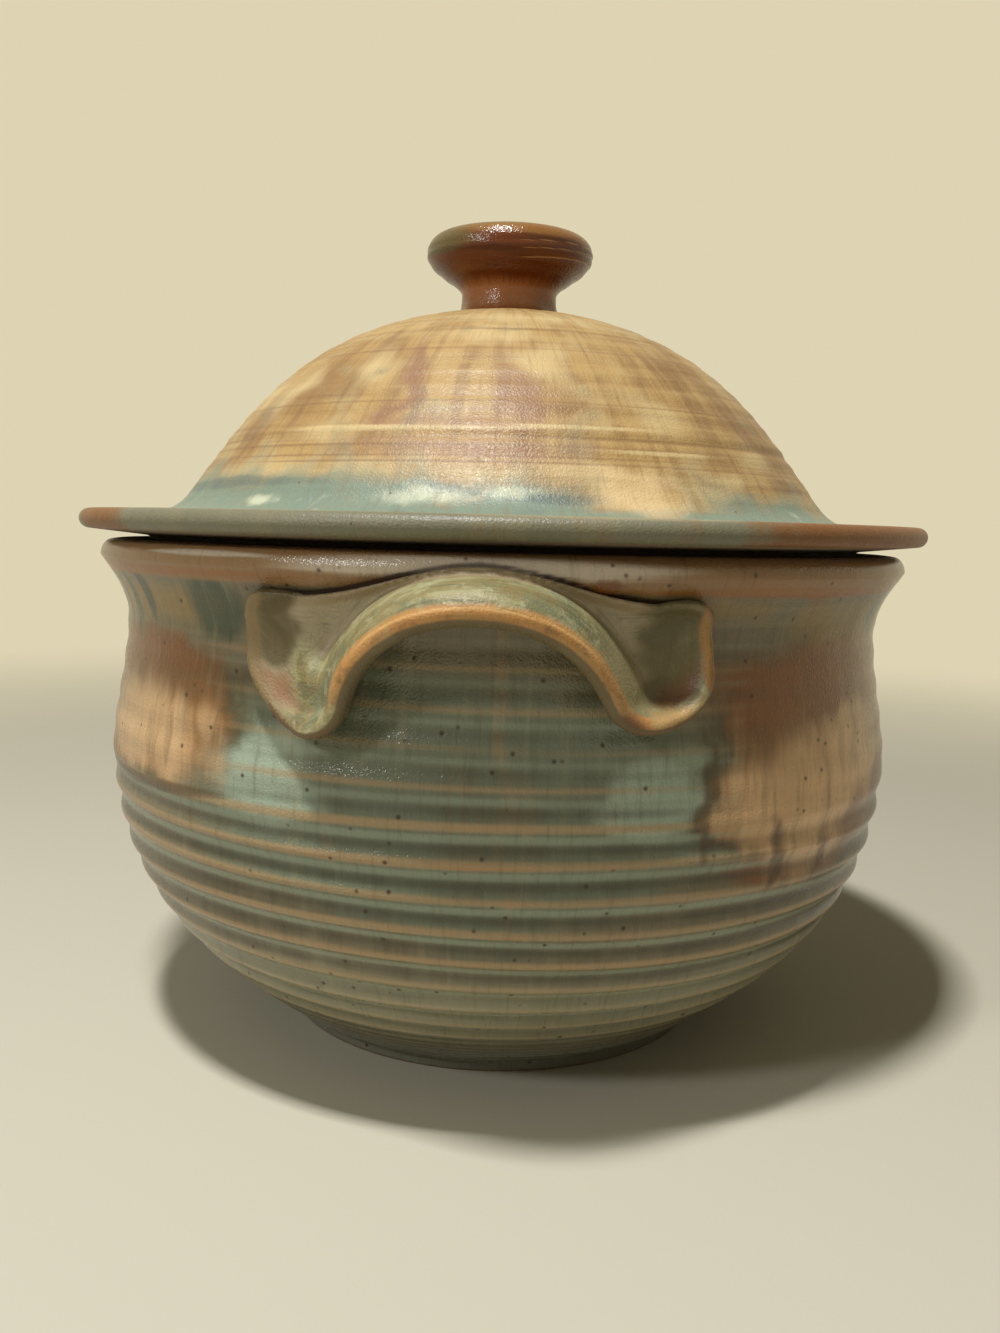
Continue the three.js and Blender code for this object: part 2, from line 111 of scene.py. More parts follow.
def thrown(name, outline, relief, fields, closed=True):
    """Surface of revolution: the outline's point (radius, height), pushed out along its normal by
    relief[ring, column], goes to x = radius sin a, y = -radius cos a, z = height, a the azimuth.
    Its way is the same with a radius of 100 mm and, as height, the length along the outline."""
    rings, columns = relief.shape
    normal = outward(outline, closed)
    radius = outline[:, :1] + normal[:, :1] * relief
    height = outline[:, 1:] + normal[:, 1:] * relief
    turn = np.linspace(0, 2 * np.pi, columns, endpoint=False)
    points = np.stack([radius * np.sin(turn), -radius * np.cos(turn), height], -1).reshape(-1, 3)
    ring, column = np.meshgrid(np.arange(rings if closed else rings - 1), np.arange(columns), indexing="ij")
    right, above = (column + 1) % columns, (ring + 1) % rings
    here, over = ring * columns, above * columns
    corners = np.stack([here + column, here + right, over + right, over + column], -1)
    way_radius = 0.1
    far = lengths(outline)[:, None] * mm
    way = np.stack(np.broadcast_arrays(way_radius * np.sin(turn), -way_radius * np.cos(turn), far), -1)
    fields = {field: np.broadcast_to(values, relief.shape) * 1.0 for field, values in fields.items()}
    piece = mesh_piece(name, points, corners.reshape(-1, 4), fields, way)
    if not closed:
        edit = bmesh.new()
        edit.from_mesh(piece.data)
        bmesh.ops.remove_doubles(edit, verts=edit.verts, dist=1e-7)
        edit.to_mesh(piece.data)
        edit.free()
    return piece


def ease(low, high, value):
    """0 below low and 1 above high, with the smooth step 3t^2 - 2t^3 between."""
    t = np.clip((value - low) / (high - low), 0, 1)
    return t * t * (3 - 2 * t)


def ebb(low, high, value):
    """1 below low and 0 above high: one less the smooth step."""
    return 1 - ease(low, high, value)


def bell(value, centre, width):
    """1 at the centre, fading to both sides: exp(-((v - centre) / width)^2)."""
    return np.exp(-(((value - centre) / width) ** 2))


def patches(azimuth, height, *ovals, edge=2):
    """Largest of exp(-q^edge) over ovals (azimuth, height, half width in degrees, half height and,
    where it leans, slope), q = (da / width)^2 + ((dh - slope da) / height)^2, with the azimuth's
    difference da wrapped. An edge of 2 leaves a clear border and one of 1 a soft one."""
    total = np.zeros(np.broadcast(azimuth, height).shape)
    for at, middle, wide, tall, *slope in ovals:
        away = (azimuth - at + 180) % 360 - 180
        q = (away / wide) ** 2 + ((height - middle - sum(slope) * away) / tall) ** 2
        total = np.maximum(total, np.exp(-q**edge))
    return total


def nearest_ring(outline, place):
    """Number of the outline's point that lies nearest to a place."""
    return int(np.argmin(np.hypot(*(outline - place).T)))


# Radii and heights in millimetres, from the foot up the outside and from the rim down the inside.
wall_thickness = 6.5
foot_height, foot_recess, floor_top = 4.5, 4.5, 12.5
belly_radius, belly_height = 136.6, 98
neck_radius, neck_height = 131.3, 141
rim_height, rim_inner_radius = 166.3, 122.8
foot_top = (77.5, foot_height)
belly = (belly_radius, belly_height)
neck = (neck_radius, neck_height)
lip = (139.7, 161)
rim = (135.5, rim_height)
rim_edge = (124, rim_height)
inner_rim = (rim_inner_radius, 165.1)
inner_neck = (neck_radius - wall_thickness, neck_height)
inner_belly = (belly_radius - wall_thickness, belly_height)
floor_edge = (66, floor_top)
hole_edge = (20, floor_top)

outer_wall = chain(
    bend(foot_top, (101.14, 22.27), (belly_radius, 44.7), belly, 0.78),
    bend(belly, (belly_radius, 107.89), (neck_radius, 128.1), neck, 0.85),
    bend(neck, (neck_radius, 150.6), (136.84, 156.2), lip, 0.85),
    quarter(lip, rim, 8),
)
foot_ring = np.array([(68, 0), (71, 0), (73.8, 0), (74.5, 0.2), (74.85, 0.6), (75, 1.2), (75, 2.6),
                      (75.05, 4), (75.4, 4.4), (76.2, foot_height)])
pot_outline = chain(
    foot_ring,
    outer_wall,
    straight(rim, rim_edge, 1.6),
    quarter(inner_rim, rim_edge, 3)[::-1],
    bend(inner_rim, (rim_inner_radius, 158), (inner_neck[0], 150), inner_neck, 2.6),
    bend(inner_neck, (inner_neck[0], 128.1), (inner_belly[0], 107.89), inner_belly, 2.6),
    bend(inner_belly, (inner_belly[0], 49.27), (99.33, 14.21), floor_edge, 2.6),
    straight(floor_edge, hole_edge, 4),
    quarter((18, 10.5), hole_edge, 3)[::-1],
    straight((18, 10.5), (18, 6), 1.5),
    np.array([(18.3, 5.0), (19.2, foot_recess)]),
    straight((19.2, foot_recess), (64.5, foot_recess), 4),
    np.array([(65.4, 4.2), (65.9, 3.4), (66, 3), (66.2, 2), (66.4, 1), (66.8, 0.3), (67.3, 0.05)]),
)
azimuth = np.linspace(0, 360, 256, endpoint=False)[None, :]
turned_by = np.radians(azimuth)
level = pot_outline[:, 1:]
ring_number = np.arange(len(pot_outline))[:, None]
first, last, belly_at = (nearest_ring(pot_outline, place) for place in (outer_wall[0], rim, belly))
on_outside = 1.0 * ((ring_number >= first) & (ring_number <= last))
length_up = lengths(pot_outline)
along = (length_up[belly_at] - length_up)[:, None]

# The finger climbs one pitch of 10.4 mm for each turn of the wheel, presses 1.6 mm deep and leaves
# a sharp crest. Its hand isn't even, so the crest wanders and the depth changes round the pot.
groove_pitch, groove_depth, first_crest = 10.4, 1.6, 12.9
wander = 0.05 * np.sin(2 * turned_by + along / 17) + 0.03 * np.sin(5 * turned_by + 1.3 - along / 9)
phase = (along - first_crest) / groove_pitch - azimuth / 360 + wander
fade = ease(0, 12, along) * ebb(84, 97, along) * on_outside
sharp = (np.sqrt(np.sin(np.pi * phase) ** 2 + 0.09) - 0.3) / 0.744
hand = 0.86 + 0.1 * np.sin(3 * turned_by + along / 13) + 0.04 * np.sin(7 * turned_by + along / 5)
groove = fade * np.clip(sharp, 0, 1) * hand
# Above it are faint rings left by smoothing, and below it the tool's lines and marks near the foot.
rings_left = -0.4 * (0.5 - 0.5 * np.cos(2 * np.pi * phase)) * ebb(140, 150, level)
rings_left = rings_left + 0.035 * np.sin(2 * np.pi * level / 2.35 + np.sin(3 * turned_by))
upper_part = ebb(-4, 12, along) * ebb(157, 160, level) * on_outside
tool_lines = ((94, 0.25), (98.5, 0.35), (102.2, 0.3), (106.5, 0.45))
trimmed = sum(depth * bell(along, at, 0.55) for at, depth in tool_lines)
turning = 0.5 + 0.5 * np.sin(2 * np.pi * along / 3.9 + 0.8 * np.sin(turned_by))
turning = ease(76, 90, along) * on_outside * turning
within = (ring_number > last + 9) & (pot_outline[:, :1] > 17.9) & (level > 6)
inner_rings = 0.35 * np.sin(2 * np.pi * (level / 11 - azimuth / 360)) * ease(16, 40, level) * ebb(120, 150, level)

# Where the slab of each handle ends on the wall the wall is dug into a furrow and painted dark in it,
# as painted shade: its distance d from the slab's edge line, unrolled at the neck, gives
# exp(-(d / width)^2). The line runs from the middle of the arch over the shoulder to the ear's corner
# and down the ear's outer side.
shoulder = (48.5, 153.8)
slab_edge = bend((0, 162.9), (15, 162.9), (27, 154.6), shoulder, 0.5)
furrow = chain(
    slab_edge + (0, 0.3),
    bend((48.5, 154.1), (56, 154.6), (61.9, 154.6), (62.2, 147), 0.6),
    straight((62.2, 147), (61.6, 130), 1),
)
from_arch = np.abs((azimuth + 90) % 180 - 90)
from_handle = np.radians(from_arch) * neck_radius
gap = np.full(np.broadcast(level, azimuth).shape, 99.0)
beside = (level[:, 0] > 120) & (level[:, 0] < 166.4) & (on_outside[:, 0] > 0)
gap[beside] = np.sqrt(
    (from_handle[:, :, None] - furrow[:, 0]) ** 2 + (level[beside][:, :, None] - furrow[:, 1]) ** 2
).min(-1)
blob = np.exp(-(((azimuth - 13.4) / 2.1) ** 2 + ((level - 158.6) / 2.3) ** 2) ** 2) * on_outside
pot_relief = -groove_depth * groove + rings_left * upper_part * (1 - fade)
pot_relief = pot_relief - trimmed * on_outside + inner_rings * within
out_of_round = 0.12 * np.sin(2 * turned_by + 0.8) * ease(10, 40, level)
pot_relief = pot_relief + out_of_round * on_outside - 0.12 * on_outside
pot_relief = pot_relief - 0.5 * bell(gap, 0, 1.3) * (1 - blob) + 0.9 * blob - 0.14 * turning

# Each dip of the glaze has an uneven edge: the azimuth and height that the ovals are read at sway.
sway = azimuth + 1.8 * np.sin(level / 5.1 + 3 * turned_by) + 1.0 * np.sin(level / 2.3 + 1.7 + 7 * turned_by)
drift = level + 2.0 * np.sin(4 * turned_by + 0.6) + 1.5 * np.sin(9 * turned_by + 1.1)
drift = drift + 0.8 * np.sin(21 * turned_by + level / 9) + 0.4 * np.sin(43 * turned_by + 0.5)
glazed = ease(0.6, 1.3, level) * (on_outside + (ring_number < first))
iron_patch = patches(
    sway, drift, (-56, 117, 27, 22), (52, 108, 25, 38, 0.05), (112, 116, 14, 30, 0.4), (131, 124, 20, 12),
    (164, 112, 11, 26), (198, 122, 26, 14, 0.1), (214, 100, 13, 22, -0.3), (258, 118, 20, 24, 0.3),
)
# The glaze breaks tan on each crest, lies teal below it and gathers in a dark line further down,
# less so on the neck and under the iron slip's patches. The dark line is painted thinnest on the
# front left, as painted light falling from that side.
arch_bands = 0.35 + 0.27 * ebb(30, 44, from_arch)
banded = (arch_bands + (1 - arch_bands) * ease(-12, 6, along)) * on_outside * ebb(86, 97, along)
banded = banded * ebb(140, 150, level) * (1 - 0.75 * iron_patch)
below_crest = phase - np.floor(phase)
painted_light_from_left = 1.1 - 0.45 * (0.5 + 0.5 * np.cos(turned_by + np.radians(55)))
# The dip's dark edge on the right wavers sideways, and the one on the left sags in a bow.
edge_sway = azimuth + 0.8 * np.sin(level / 4.7) + 0.5 * np.sin(level / 1.9 + 1)
from_left = azimuth - (azimuth > 180) * 360 + 48
edge_sag = level + 1.2 * np.sin(4 * turned_by + 0.6) - 0.006 * from_left**2
pot_fields = {
    "pool": banded * painted_light_from_left * bell(below_crest, 0.6, 0.19),
    "vein": banded * bell(below_crest, 0.33, 0.16),
    "crest": banded * bell(np.minimum(below_crest, 1 - below_crest), 0, 0.16),
    "spark": banded * ease(0, 8, along) * bell(below_crest, 0.06, 0.035),
    "iron": iron_patch,
    "peach": patches(
        sway, drift, (-50, 110, 20, 15), (41, 97, 13, 20, -0.3), (54, 108, 14, 13), (108, 106, 9, 17, 0.3),
        (167, 104, 6, 14), (196, 118, 15, 8), (214, 100, 8, 15, -0.3), (256, 110, 13, 12, 0.3),
    ),
    # A brighter apricot, painted light where the lamp falls on the right front's peach, with a second patch on the
    # back.
    "painted_light_apricot": patches(sway, drift, (52, 103, 13, 18, -0.2), (110, 106, 7, 12, 0.3), edge=1),
    # Rust-brown of the iron: drips low down and near the rim, and a band on the upper wall that is partly painted
    # shade under the flange.
    "rust_and_flange_shade": patches(
        sway, drift, (-56, 134, 22, 8), (54, 131, 30, 15), (37, 80, 9, 5, -0.2), (54, 160, 27, 5),
        (124, 130, 18, 8), (200, 131, 24, 7), (214, 82, 9, 5), (254, 134, 16, 8), (205, 161, 30, 5),
    ),
    "edge": patches(edge_sway, level, (27, 101, 1.4, 25), (38, 84, 1.5, 14), (47, 81, 1.2, 9))
            + patches(azimuth, edge_sag, (-48, 94.5, 22, 2.4)),
    "teal": patches(
        sway, drift, (-4, 100, 34, 40), (86, 108, 15, 22), (142, 100, 13, 22), (184, 108, 13, 22),
        (234, 110, 9, 20), (288, 108, 12, 22),
    ),
    # Pale blotches in the teal; the two at the front, beside the handle, are painted light where the wall is lit past
    # the handle's shadow.
    "pale": patches(
        sway, drift, (-26, 102, 9, 14), (21.5, 103, 7, 15, -0.2), (84, 104, 9, 16), (144, 96, 8, 12),
        (183, 96, 6, 14), (236, 104, 6, 14), (288, 100, 12, 14),
    ),
    "neck_run": patches(
        azimuth, level, (-67, 148, 2.4, 13), (-61, 150, 1.8, 12), (-56, 147, 1.5, 13), (-50, 151, 1.8, 9),
        (-34, 149, 6, 11), (64, 150, 4, 10), (92, 150, 16, 9), (140, 151, 14, 8), (222, 150, 18, 9),
        (262, 150, 9, 9),
    ),
    "rim_rust": on_outside * patches(
        azimuth, level, (-46, 158.2, 36, 1.8, 0.02), (40, 156.6, 30, 2.0, -0.02), (92, 157.4, 18, 2),
        (150, 158, 30, 1.8, 0.02), (215, 157.4, 26, 2), (276, 158, 24, 1.8),
    ),
    "neck_tan": on_outside * patches(
        sway, level, (64, 148, 32, 9), (-52, 149, 24, 8), (20, 152, 20, 5), (150, 148, 30, 8), (250, 148, 30, 9),
        edge=1,
    ),
    "lip": ease(154, 158, level) * on_outside,
    # Grey-mauve on the rim, made light as a painted sheen, strongest at the front under the flange.
    "grey_lip_and_painted_sheen": on_outside * patches(azimuth, level, (0, 162.3, 25, 3.4), (-34, 164, 12, 1.0), (170, 161, 40, 4)),
    "low": ease(12, 24, level) * ebb(38, 62, level) * on_outside,
    "furrow": bell(gap, 0, 1.25),
    "turning": turning,
    "blob": blob,
    "liner": within,
    "foot": ebb(9, 19, level) * (on_outside + (ring_number < first)),
    "foot_line": bell(level, 4.6, 0.45) * (ring_number < first + 4) + 0.7 * bell(level, 9.5, 0.4) * on_outside,
    "bare": 1 - np.maximum(np.maximum(glazed, within), (ring_number <= last) & (level > 4)),
}
pot = thrown("pot_shell", pot_outline, pot_relief, pot_fields)


def tone(colour, alpha=1.0):
    """sRGB hex to linear: c / 12.92 up to 0.04045, else ((c + 0.055) / 1.055) ^ 2.4."""
    value = np.array([int(colour[i:i + 2], 16) for i in (1, 3, 5)]) / 255
    linear = np.where(value <= 0.04045, value / 12.92, ((value + 0.055) / 1.055) ** 2.4)
    return (*linear.tolist(), alpha)


def add(tree, kind, inputs=None, **settings):
    """Adds one shader node. Each input is a plain value, or the output that feeds it."""
    node = tree.nodes.new("ShaderNode" + kind)
    for setting, value in settings.items():
        setattr(node, setting, value)
    for socket, value in (inputs or {}).items():
        if isinstance(value, bpy.types.NodeSocket):
            tree.links.new(value, node.inputs[socket])
        else:
            node.inputs[socket].default_value = value
    return node


# Size of the glaze's patterns in cycles per metre, with detail, and how far each one wavers. Those
# alike in every direction read the place: clouds 16 mm, blots 7 mm, grain 1.5 mm and orange peel
# 0.7 mm. The others run along the way: drips 4 mm wide and 50 mm long, washes 10 mm wide, wheel
# marks 4 mm high and hairs 1 mm wide, drawn coarse enough to show.
glaze_grains = {
    "cloud": ((62, 62, 62), 4, 0.45),
    "run": ((240, 240, 20), 4, 0.45),
    "sheet": ((95, 95, 16), 3, 0.45),
    "wheel": ((9, 9, 250), 2, 0.1),
    "hair": ((900, 900, 60), 2, 0.3),
    "blot": ((150, 150, 150), 3, 0.45),
    "grain": ((650, 650, 650), 3, 0.3),
    "peel": ((1350, 1350, 1350), 1, 0),
}
# Depth in metres and strength of the skin's unevenness, coarse to fine, and how light bends in it.
skin_relief = (("cloud", 0.5, 0.0006), ("grain", 0.25, 0.00012), ("peel", 0.8, 0.00024))
glaze_ior = 1.44


def glaze(name, ground, layers, grains, gloss, flecks):
    """A fired glaze: a ground colour, then thinner and thicker layers, each with a mask
    smoothstep(low, high, field + weight * noise) times strength, iron specks where a Voronoi cell's
    point comes near the surface (flecks: spacing and size in mm), and a satin skin, its roughness
    between the two of gloss, that its grain pits and that bare clay leaves rougher."""
    material = bpy.data.materials.new(name)
    material.use_nodes = True
    tree = material.node_tree
    place = add(tree, "TexCoord").outputs["Object"]
    way = add(tree, "Attribute", attribute_name="way").outputs["Vector"]
    noise = {}
    for grain, (scale, detail, waver) in grains.items():
        source = place if len(set(scale)) == 1 else way
        spread = add(tree, "VectorMath", {0: source, 1: scale}, operation="MULTIPLY").outputs[0]
        inputs = {"Vector": spread, "Scale": 1.0, "Detail": detail, "Roughness": 0.6, "Distortion": waver}
        noise[grain] = add(tree, "TexNoise", inputs).outputs["Fac"]
    # Each coat lies over the ones before it: the layers, the specks, and bare clay where no glaze is.
    coats = []
    for paint, field, grain, weight, low, high, strength in layers:
        value = noise[grain]
        if field:
            amount = add(tree, "Attribute", attribute_name=field).outputs["Fac"]
            value = add(tree, "Math", {0: value, 1: weight, 2: amount}, operation="MULTIPLY_ADD").outputs[0]
        limits = {"Value": value, "From Min": low, "From Max": high, "To Max": strength}
        mask = add(tree, "MapRange", limits, interpolation_type="SMOOTHSTEP").outputs[0]
        coats.append((mask, tone(paint)))
    spacing, size = flecks
    cell = add(tree, "TexVoronoi", {"Vector": place, "Scale": 1000 / spacing}).outputs["Distance"]
    near = {"Value": cell, "From Min": size / spacing, "From Max": 0.4 * size / spacing, "To Max": 0.85}
    coats.append((add(tree, "MapRange", near).outputs[0], tone("#33210f")))
    bare = add(tree, "Attribute", attribute_name="bare").outputs["Fac"]
    clay = {"Fac": noise["grain"], "Color1": tone("#675643"), "Color2": tone("#8a7a62")}
    coats.append((bare, add(tree, "MixRGB", clay).outputs[0]))
    colour = tone(ground)
    for mask, coat in coats:
        colour = add(tree, "MixRGB", {"Fac": mask, "Color1": colour, "Color2": coat}).outputs[0]
    span = {"Value": noise["grain"], "From Min": 0.3, "From Max": 0.7, "To Min": gloss[0], "To Max": gloss[1]}
    satin = add(tree, "MapRange", span).outputs[0]
    rough = add(tree, "Math", {0: bare, 1: 0.5, 2: satin}, operation="MULTIPLY_ADD").outputs[0]
    shader = tree.nodes["Principled BSDF"]
    shader.inputs["IOR"].default_value = glaze_ior
    tree.links.new(colour, shader.inputs["Base Color"])
    tree.links.new(rough, shader.inputs["Roughness"])
    facing = {}
    for grain, strength, depth in skin_relief:
        inputs = {"Height": noise[grain], "Strength": strength, "Distance": depth, **facing}
        facing = {"Normal": add(tree, "Bump", inputs).outputs[0]}
    tree.links.new(facing["Normal"], shader.inputs["Normal"])
    return material


# Olive celadon over an iron slip, dipped twice and fired in reduction: satin gloss, grey-olive
# where it lies even, teal in pools, peach and rust where the iron shows through.
pot.data.materials.append(glaze("reduction_fired_olive_glaze", "#746c54", [
    ("#554e3a", None, "sheet", 0, 0.5, 0.7, 0.5),
    ("#897f63", None, "wheel", 0, 0.5, 0.68, 0.4),
    # The teal layers are darker than the glaze's lit tone: partly painted shade, like that under the handle.
    ("#6a7360", "teal", "cloud", 0.8, 0.6, 1.1, 0.9),
    # Painted light in this pale layer's front patches beside the handle; elsewhere it is pale blotches in the teal.
    ("#a2b19c", "pale", "sheet", 0.9, 0.65, 1.35, 0.88),
    ("#575140", "teal", "sheet", 1.0, 1.48, 1.8, 0.55),
    ("#4a3e22", "iron", "cloud", 0.6, 0.5, 0.75, 0.75),
    ("#855a2d", "iron", "cloud", 0.6, 0.68, 0.95, 0.95),
    # Rust-brown, on the upper wall partly painted shade under the flange.
    ("#845124", "rust_and_flange_shade", "cloud", 1.3, 0.8, 1.6, 0.85),
    ("#cfa97b", "peach", "sheet", 1.7, 0.95, 1.8, 0.92),
    # Painted light: brighter apricot over the right front's peach.
    ("#f2c48f", "painted_light_apricot", "sheet", 1.2, 0.9, 1.65, 0.68),
    ("#a98a62", "peach", "run", 1.6, 1.7, 2.0, 0.4),
    ("#8f7644", "neck_tan", "cloud", 1.2, 0.85, 1.5, 0.88),
    ("#3f4b38", "neck_run", "run", 1.0, 0.75, 1.4, 0.85),
    ("#4a3f28", None, "run", 0, 0.54, 0.7, 0.25),
    ("#9b9275", None, "run", 0, 0.45, 0.3, 0.25),
    ("#8d9782", "vein", "sheet", 0.5, 0.5, 1.15, 0.72),
    ("#3a3522", "pool", "sheet", 0.8, 0.5, 1.4, 0.74),
    ("#aa9069", "crest", "wheel", 0.8, 0.6, 1.4, 0.84),
    ("#a8835d", "crest", "sheet", 1.4, 1.6, 2.05, 0.45),
    ("#b0733f", "spark", "sheet", 1.2, 1.25, 1.8, 0.7),
    ("#9b9a80", "low", "wheel", 0.8, 0.7, 1.5, 0.5),
    ("#4b3519", "edge", "sheet", 0.9, 0.75, 1.5, 0.75),
    ("#95714a", "lip", "wheel", 0.6, 0.6, 1.25, 0.85),
    # Painted sheen: light grey on the rim.
    ("#cbbda8", "grey_lip_and_painted_sheen", "wheel", 0.8, 0.65, 1.3, 0.88),
    ("#935f2a", "rim_rust", "wheel", 1.2, 1.0, 1.75, 0.8),
    # Painted shade in the furrow along the handle's slab.
    ("#3d2b26", "furrow", "cloud", 0.2, 0.5, 1.0, 0.85),
    ("#7a4a1c", "blob", "grain", 0.5, 0.5, 1.1, 0.9),
    ("#7d8070", "foot", "wheel", 0.8, 0.6, 1.35, 0.85),
    ("#4f4e3a", "turning", "wheel", 0.5, 0.6, 1.25, 0.6),
    ("#8d8c74", "foot_line", "cloud", 0.3, 0.5, 1.1, 0.7),
    ("#978c68", "liner", "cloud", 0.2, 0.5, 1.0, 1.0),
    ("#463f2b", None, "hair", 0, 0.5, 0.75, 0.22),
], glaze_grains, gloss=(0.13, 0.27), flecks=(7.4, 0.9)))
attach(pot, "pot")
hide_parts("pot_body")


# Steam chimney. A thrown cone, open at both ends, luted over the hole in the floor with its foot
# pressed out all round, and glazed with the liner that covers the inside of the pot.
chimney_foot, chimney_top = 12.8, 150.7
chimney_outline = chain(
    np.array([(30.5, 12.7)]),
    bend((30.5, chimney_foot), (26.2, 13.6), (24.7, 18.5), (24.5, 24.8), 1.0),
    bend((24.5, 24.8), (18.5, 56.3), (12.5, 87.8), (12.5, chimney_top), 1.2),
    quarter((12.5, chimney_top), (10.9, 152.3), 3),
    straight((10.9, 152.3), (7.6, 152.3), 1.2),
    quarter((6, chimney_top), (7.6, 152.3), 3)[::-1],
    bend((6, chimney_top), (6, 87.8), (12, 56.3), (18, chimney_foot), 2.5),
    straight((18, 12.7), (30.4, 12.7), 3),
)
chimney_level = chimney_outline[:, 1:]
chimney_turn = np.radians(np.linspace(0, 360, 128, endpoint=False)[None, :])
chimney_outer = (np.arange(len(chimney_outline)) < len(chimney_outline) * 0.62)[:, None]
chimney_rings = 0.3 * np.sin(2 * np.pi * chimney_level / 8.5 - chimney_turn)
chimney_relief = chimney_rings * ease(26, 40, chimney_level) * chimney_outer - 0.3 * chimney_outer
chimney_fields = {"pool": ebb(14, 30, chimney_level), "bare": 0.0}
chimney = thrown("steam_chimney_cone", chimney_outline, chimney_relief, chimney_fields)
# The same celadon, thin and pale on an upright wall, olive where it pools round the foot.
chimney.data.materials.append(glaze("liner_celadon_glaze", "#978c68", [
    ("#7b704d", None, "run", 0, 0.5, 0.66, 0.6),
    ("#b3a47c", None, "wheel", 0, 0.52, 0.66, 0.5),
    ("#696b50", "pool", "cloud", 0.6, 0.6, 1.2, 0.8),
], glaze_grains, gloss=(0.18, 0.34), flecks=(8, 0.7)))
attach(chimney, "pot")
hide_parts("steam_chimney")


# Strap handles. A strap pulled from a lump of clay, laid on its edge over an arch and turned up at
# both ends into an ear, then luted to the wall with a slab of soft clay smeared round it. The front
# edge of the strap is one line on the wall unrolled at the neck's radius, 131.3 mm.
arch = bend((0, 153.5), (17.085, 153.5), (28.475, 142), (33.5, 128.5), 0.5)
toe = bend((33.5, 128.5), (38.279, 115.661), (59, 123.3), (59, 137), 0.5)
arm = straight((59, 137), (59.3, 148.6), 0.5)
corner = bend((59.3, 148.6), (59.5, 152.6), (57, 153.6), (46.5, 152.9), 0.5)
# Stations number the line: 0 to 9 down the arch, to 15 round the toe, to 17 up the arm and to 20
# round the corner. The shares say how far along each stretch they lie.
arch_end, toe_end, arm_end, line_end = 9, 15, 17, 20
station = np.linspace(0, line_end, 161)
arch_share = np.interp(station, range(arch_end + 1), [0, 0.13, 0.27, 0.4, 0.53, 0.65, 0.76, 0.86, 0.94, 1])
toe_share = np.interp(station, range(arch_end, toe_end + 1), [0, 0.2, 0.37, 0.5, 0.63, 0.8, 1])
arm_share = np.interp(station, [toe_end, arm_end], [0, 1])
corner_share = np.interp(station, [arm_end, line_end], [0, 1])


def at_share(line, share):
    """Points at shares of a line that is cut into equal lengths."""
    return np.column_stack([np.interp(share * (len(line) - 1), np.arange(len(line)), line[:, k]) for k in range(2)])


front_line = np.select(
    [(station < end)[:, None] for end in (arch_end, toe_end, arm_end)],
    [at_share(arch, arch_share), at_share(toe, toe_share), at_share(arm, arm_share)],
    at_share(corner, corner_share),
)
heading = np.gradient(front_line, axis=0)
heading /= np.hypot(*heading.T)[:, None]
aside = np.column_stack([-heading[:, 1], heading[:, 0]])


def sized(crest_size, leg_size, toe_size, waist_size, top_size, end_size):
    """A size of the strap along its line: from the crest to the leg by the square of the share of
    the arch, then in even steps to the toe, the ear's waist, its top and its end in the slab."""
    on_arch = crest_size + (leg_size - crest_size) * arch_share**2
    past = np.interp(toe_share, [0, 0.5, 1], [leg_size, toe_size, waist_size])
    ear = waist_size + (top_size - waist_size) * arm_share + (end_size - top_size) * corner_share
    return np.where(station < arch_end, on_arch, np.where(station < toe_end, past, ear))


# Millimetres at the crest, leg, toe, ear's waist, its top and its end: how far the strap reaches
# out, how thick it is, how far it leans, how wide its root is and how big the bead on its edge.
# Roundness is a share, from a full awning of 1 to a hollow of 0.
reach = sized(24.5, 14, 8, 6.5, 5.6, 3.6)
thick = sized(9, 7.6, 6.2, 4.6, 4.4, 3)
lean = sized(3, 4, -1, -1.6, -1.4, -0.4)
root = sized(6.3, 8.8, 5.6, 4.5, 4.2, 2.6)
bead = sized(2.8, 2.6, 2.1, 1.5, 1.4, 1.1)
roundness = sized(1, 0.6, 0.25, 0, 0, 0)
seam_share = np.interp(station, range(7, 18), [0, 0.25, 0.5, 0.75, 0.92, 1, 0.92, 0.75, 0.5, 0.25, 0])
seam = np.array(shoulder) + seam_share[:, None] * (np.array([48.5, 133.3]) - shoulder)
edge_line = np.where((station < 7)[:, None], at_share(slab_edge, np.clip(station / 7, 0, 1)), seam)
slab_thickness, sunk = 2.6, 3


def wall_radius(height):
    """Radius of the pot's outer wall at a height."""
    return np.interp(height, outer_wall[:, 1], outer_wall[:, 0])


def on_wall(around, height, out):
    """A place round the wall, up it and out from it: x = (R + out) sin(around / 131.3),
    y = -(R + out) cos(around / 131.3), with R the wall's radius at that height."""
    radius = wall_radius(height) + out
    return np.stack([radius * np.sin(around / neck_radius), -radius * np.cos(around / neck_radius), height], -1)


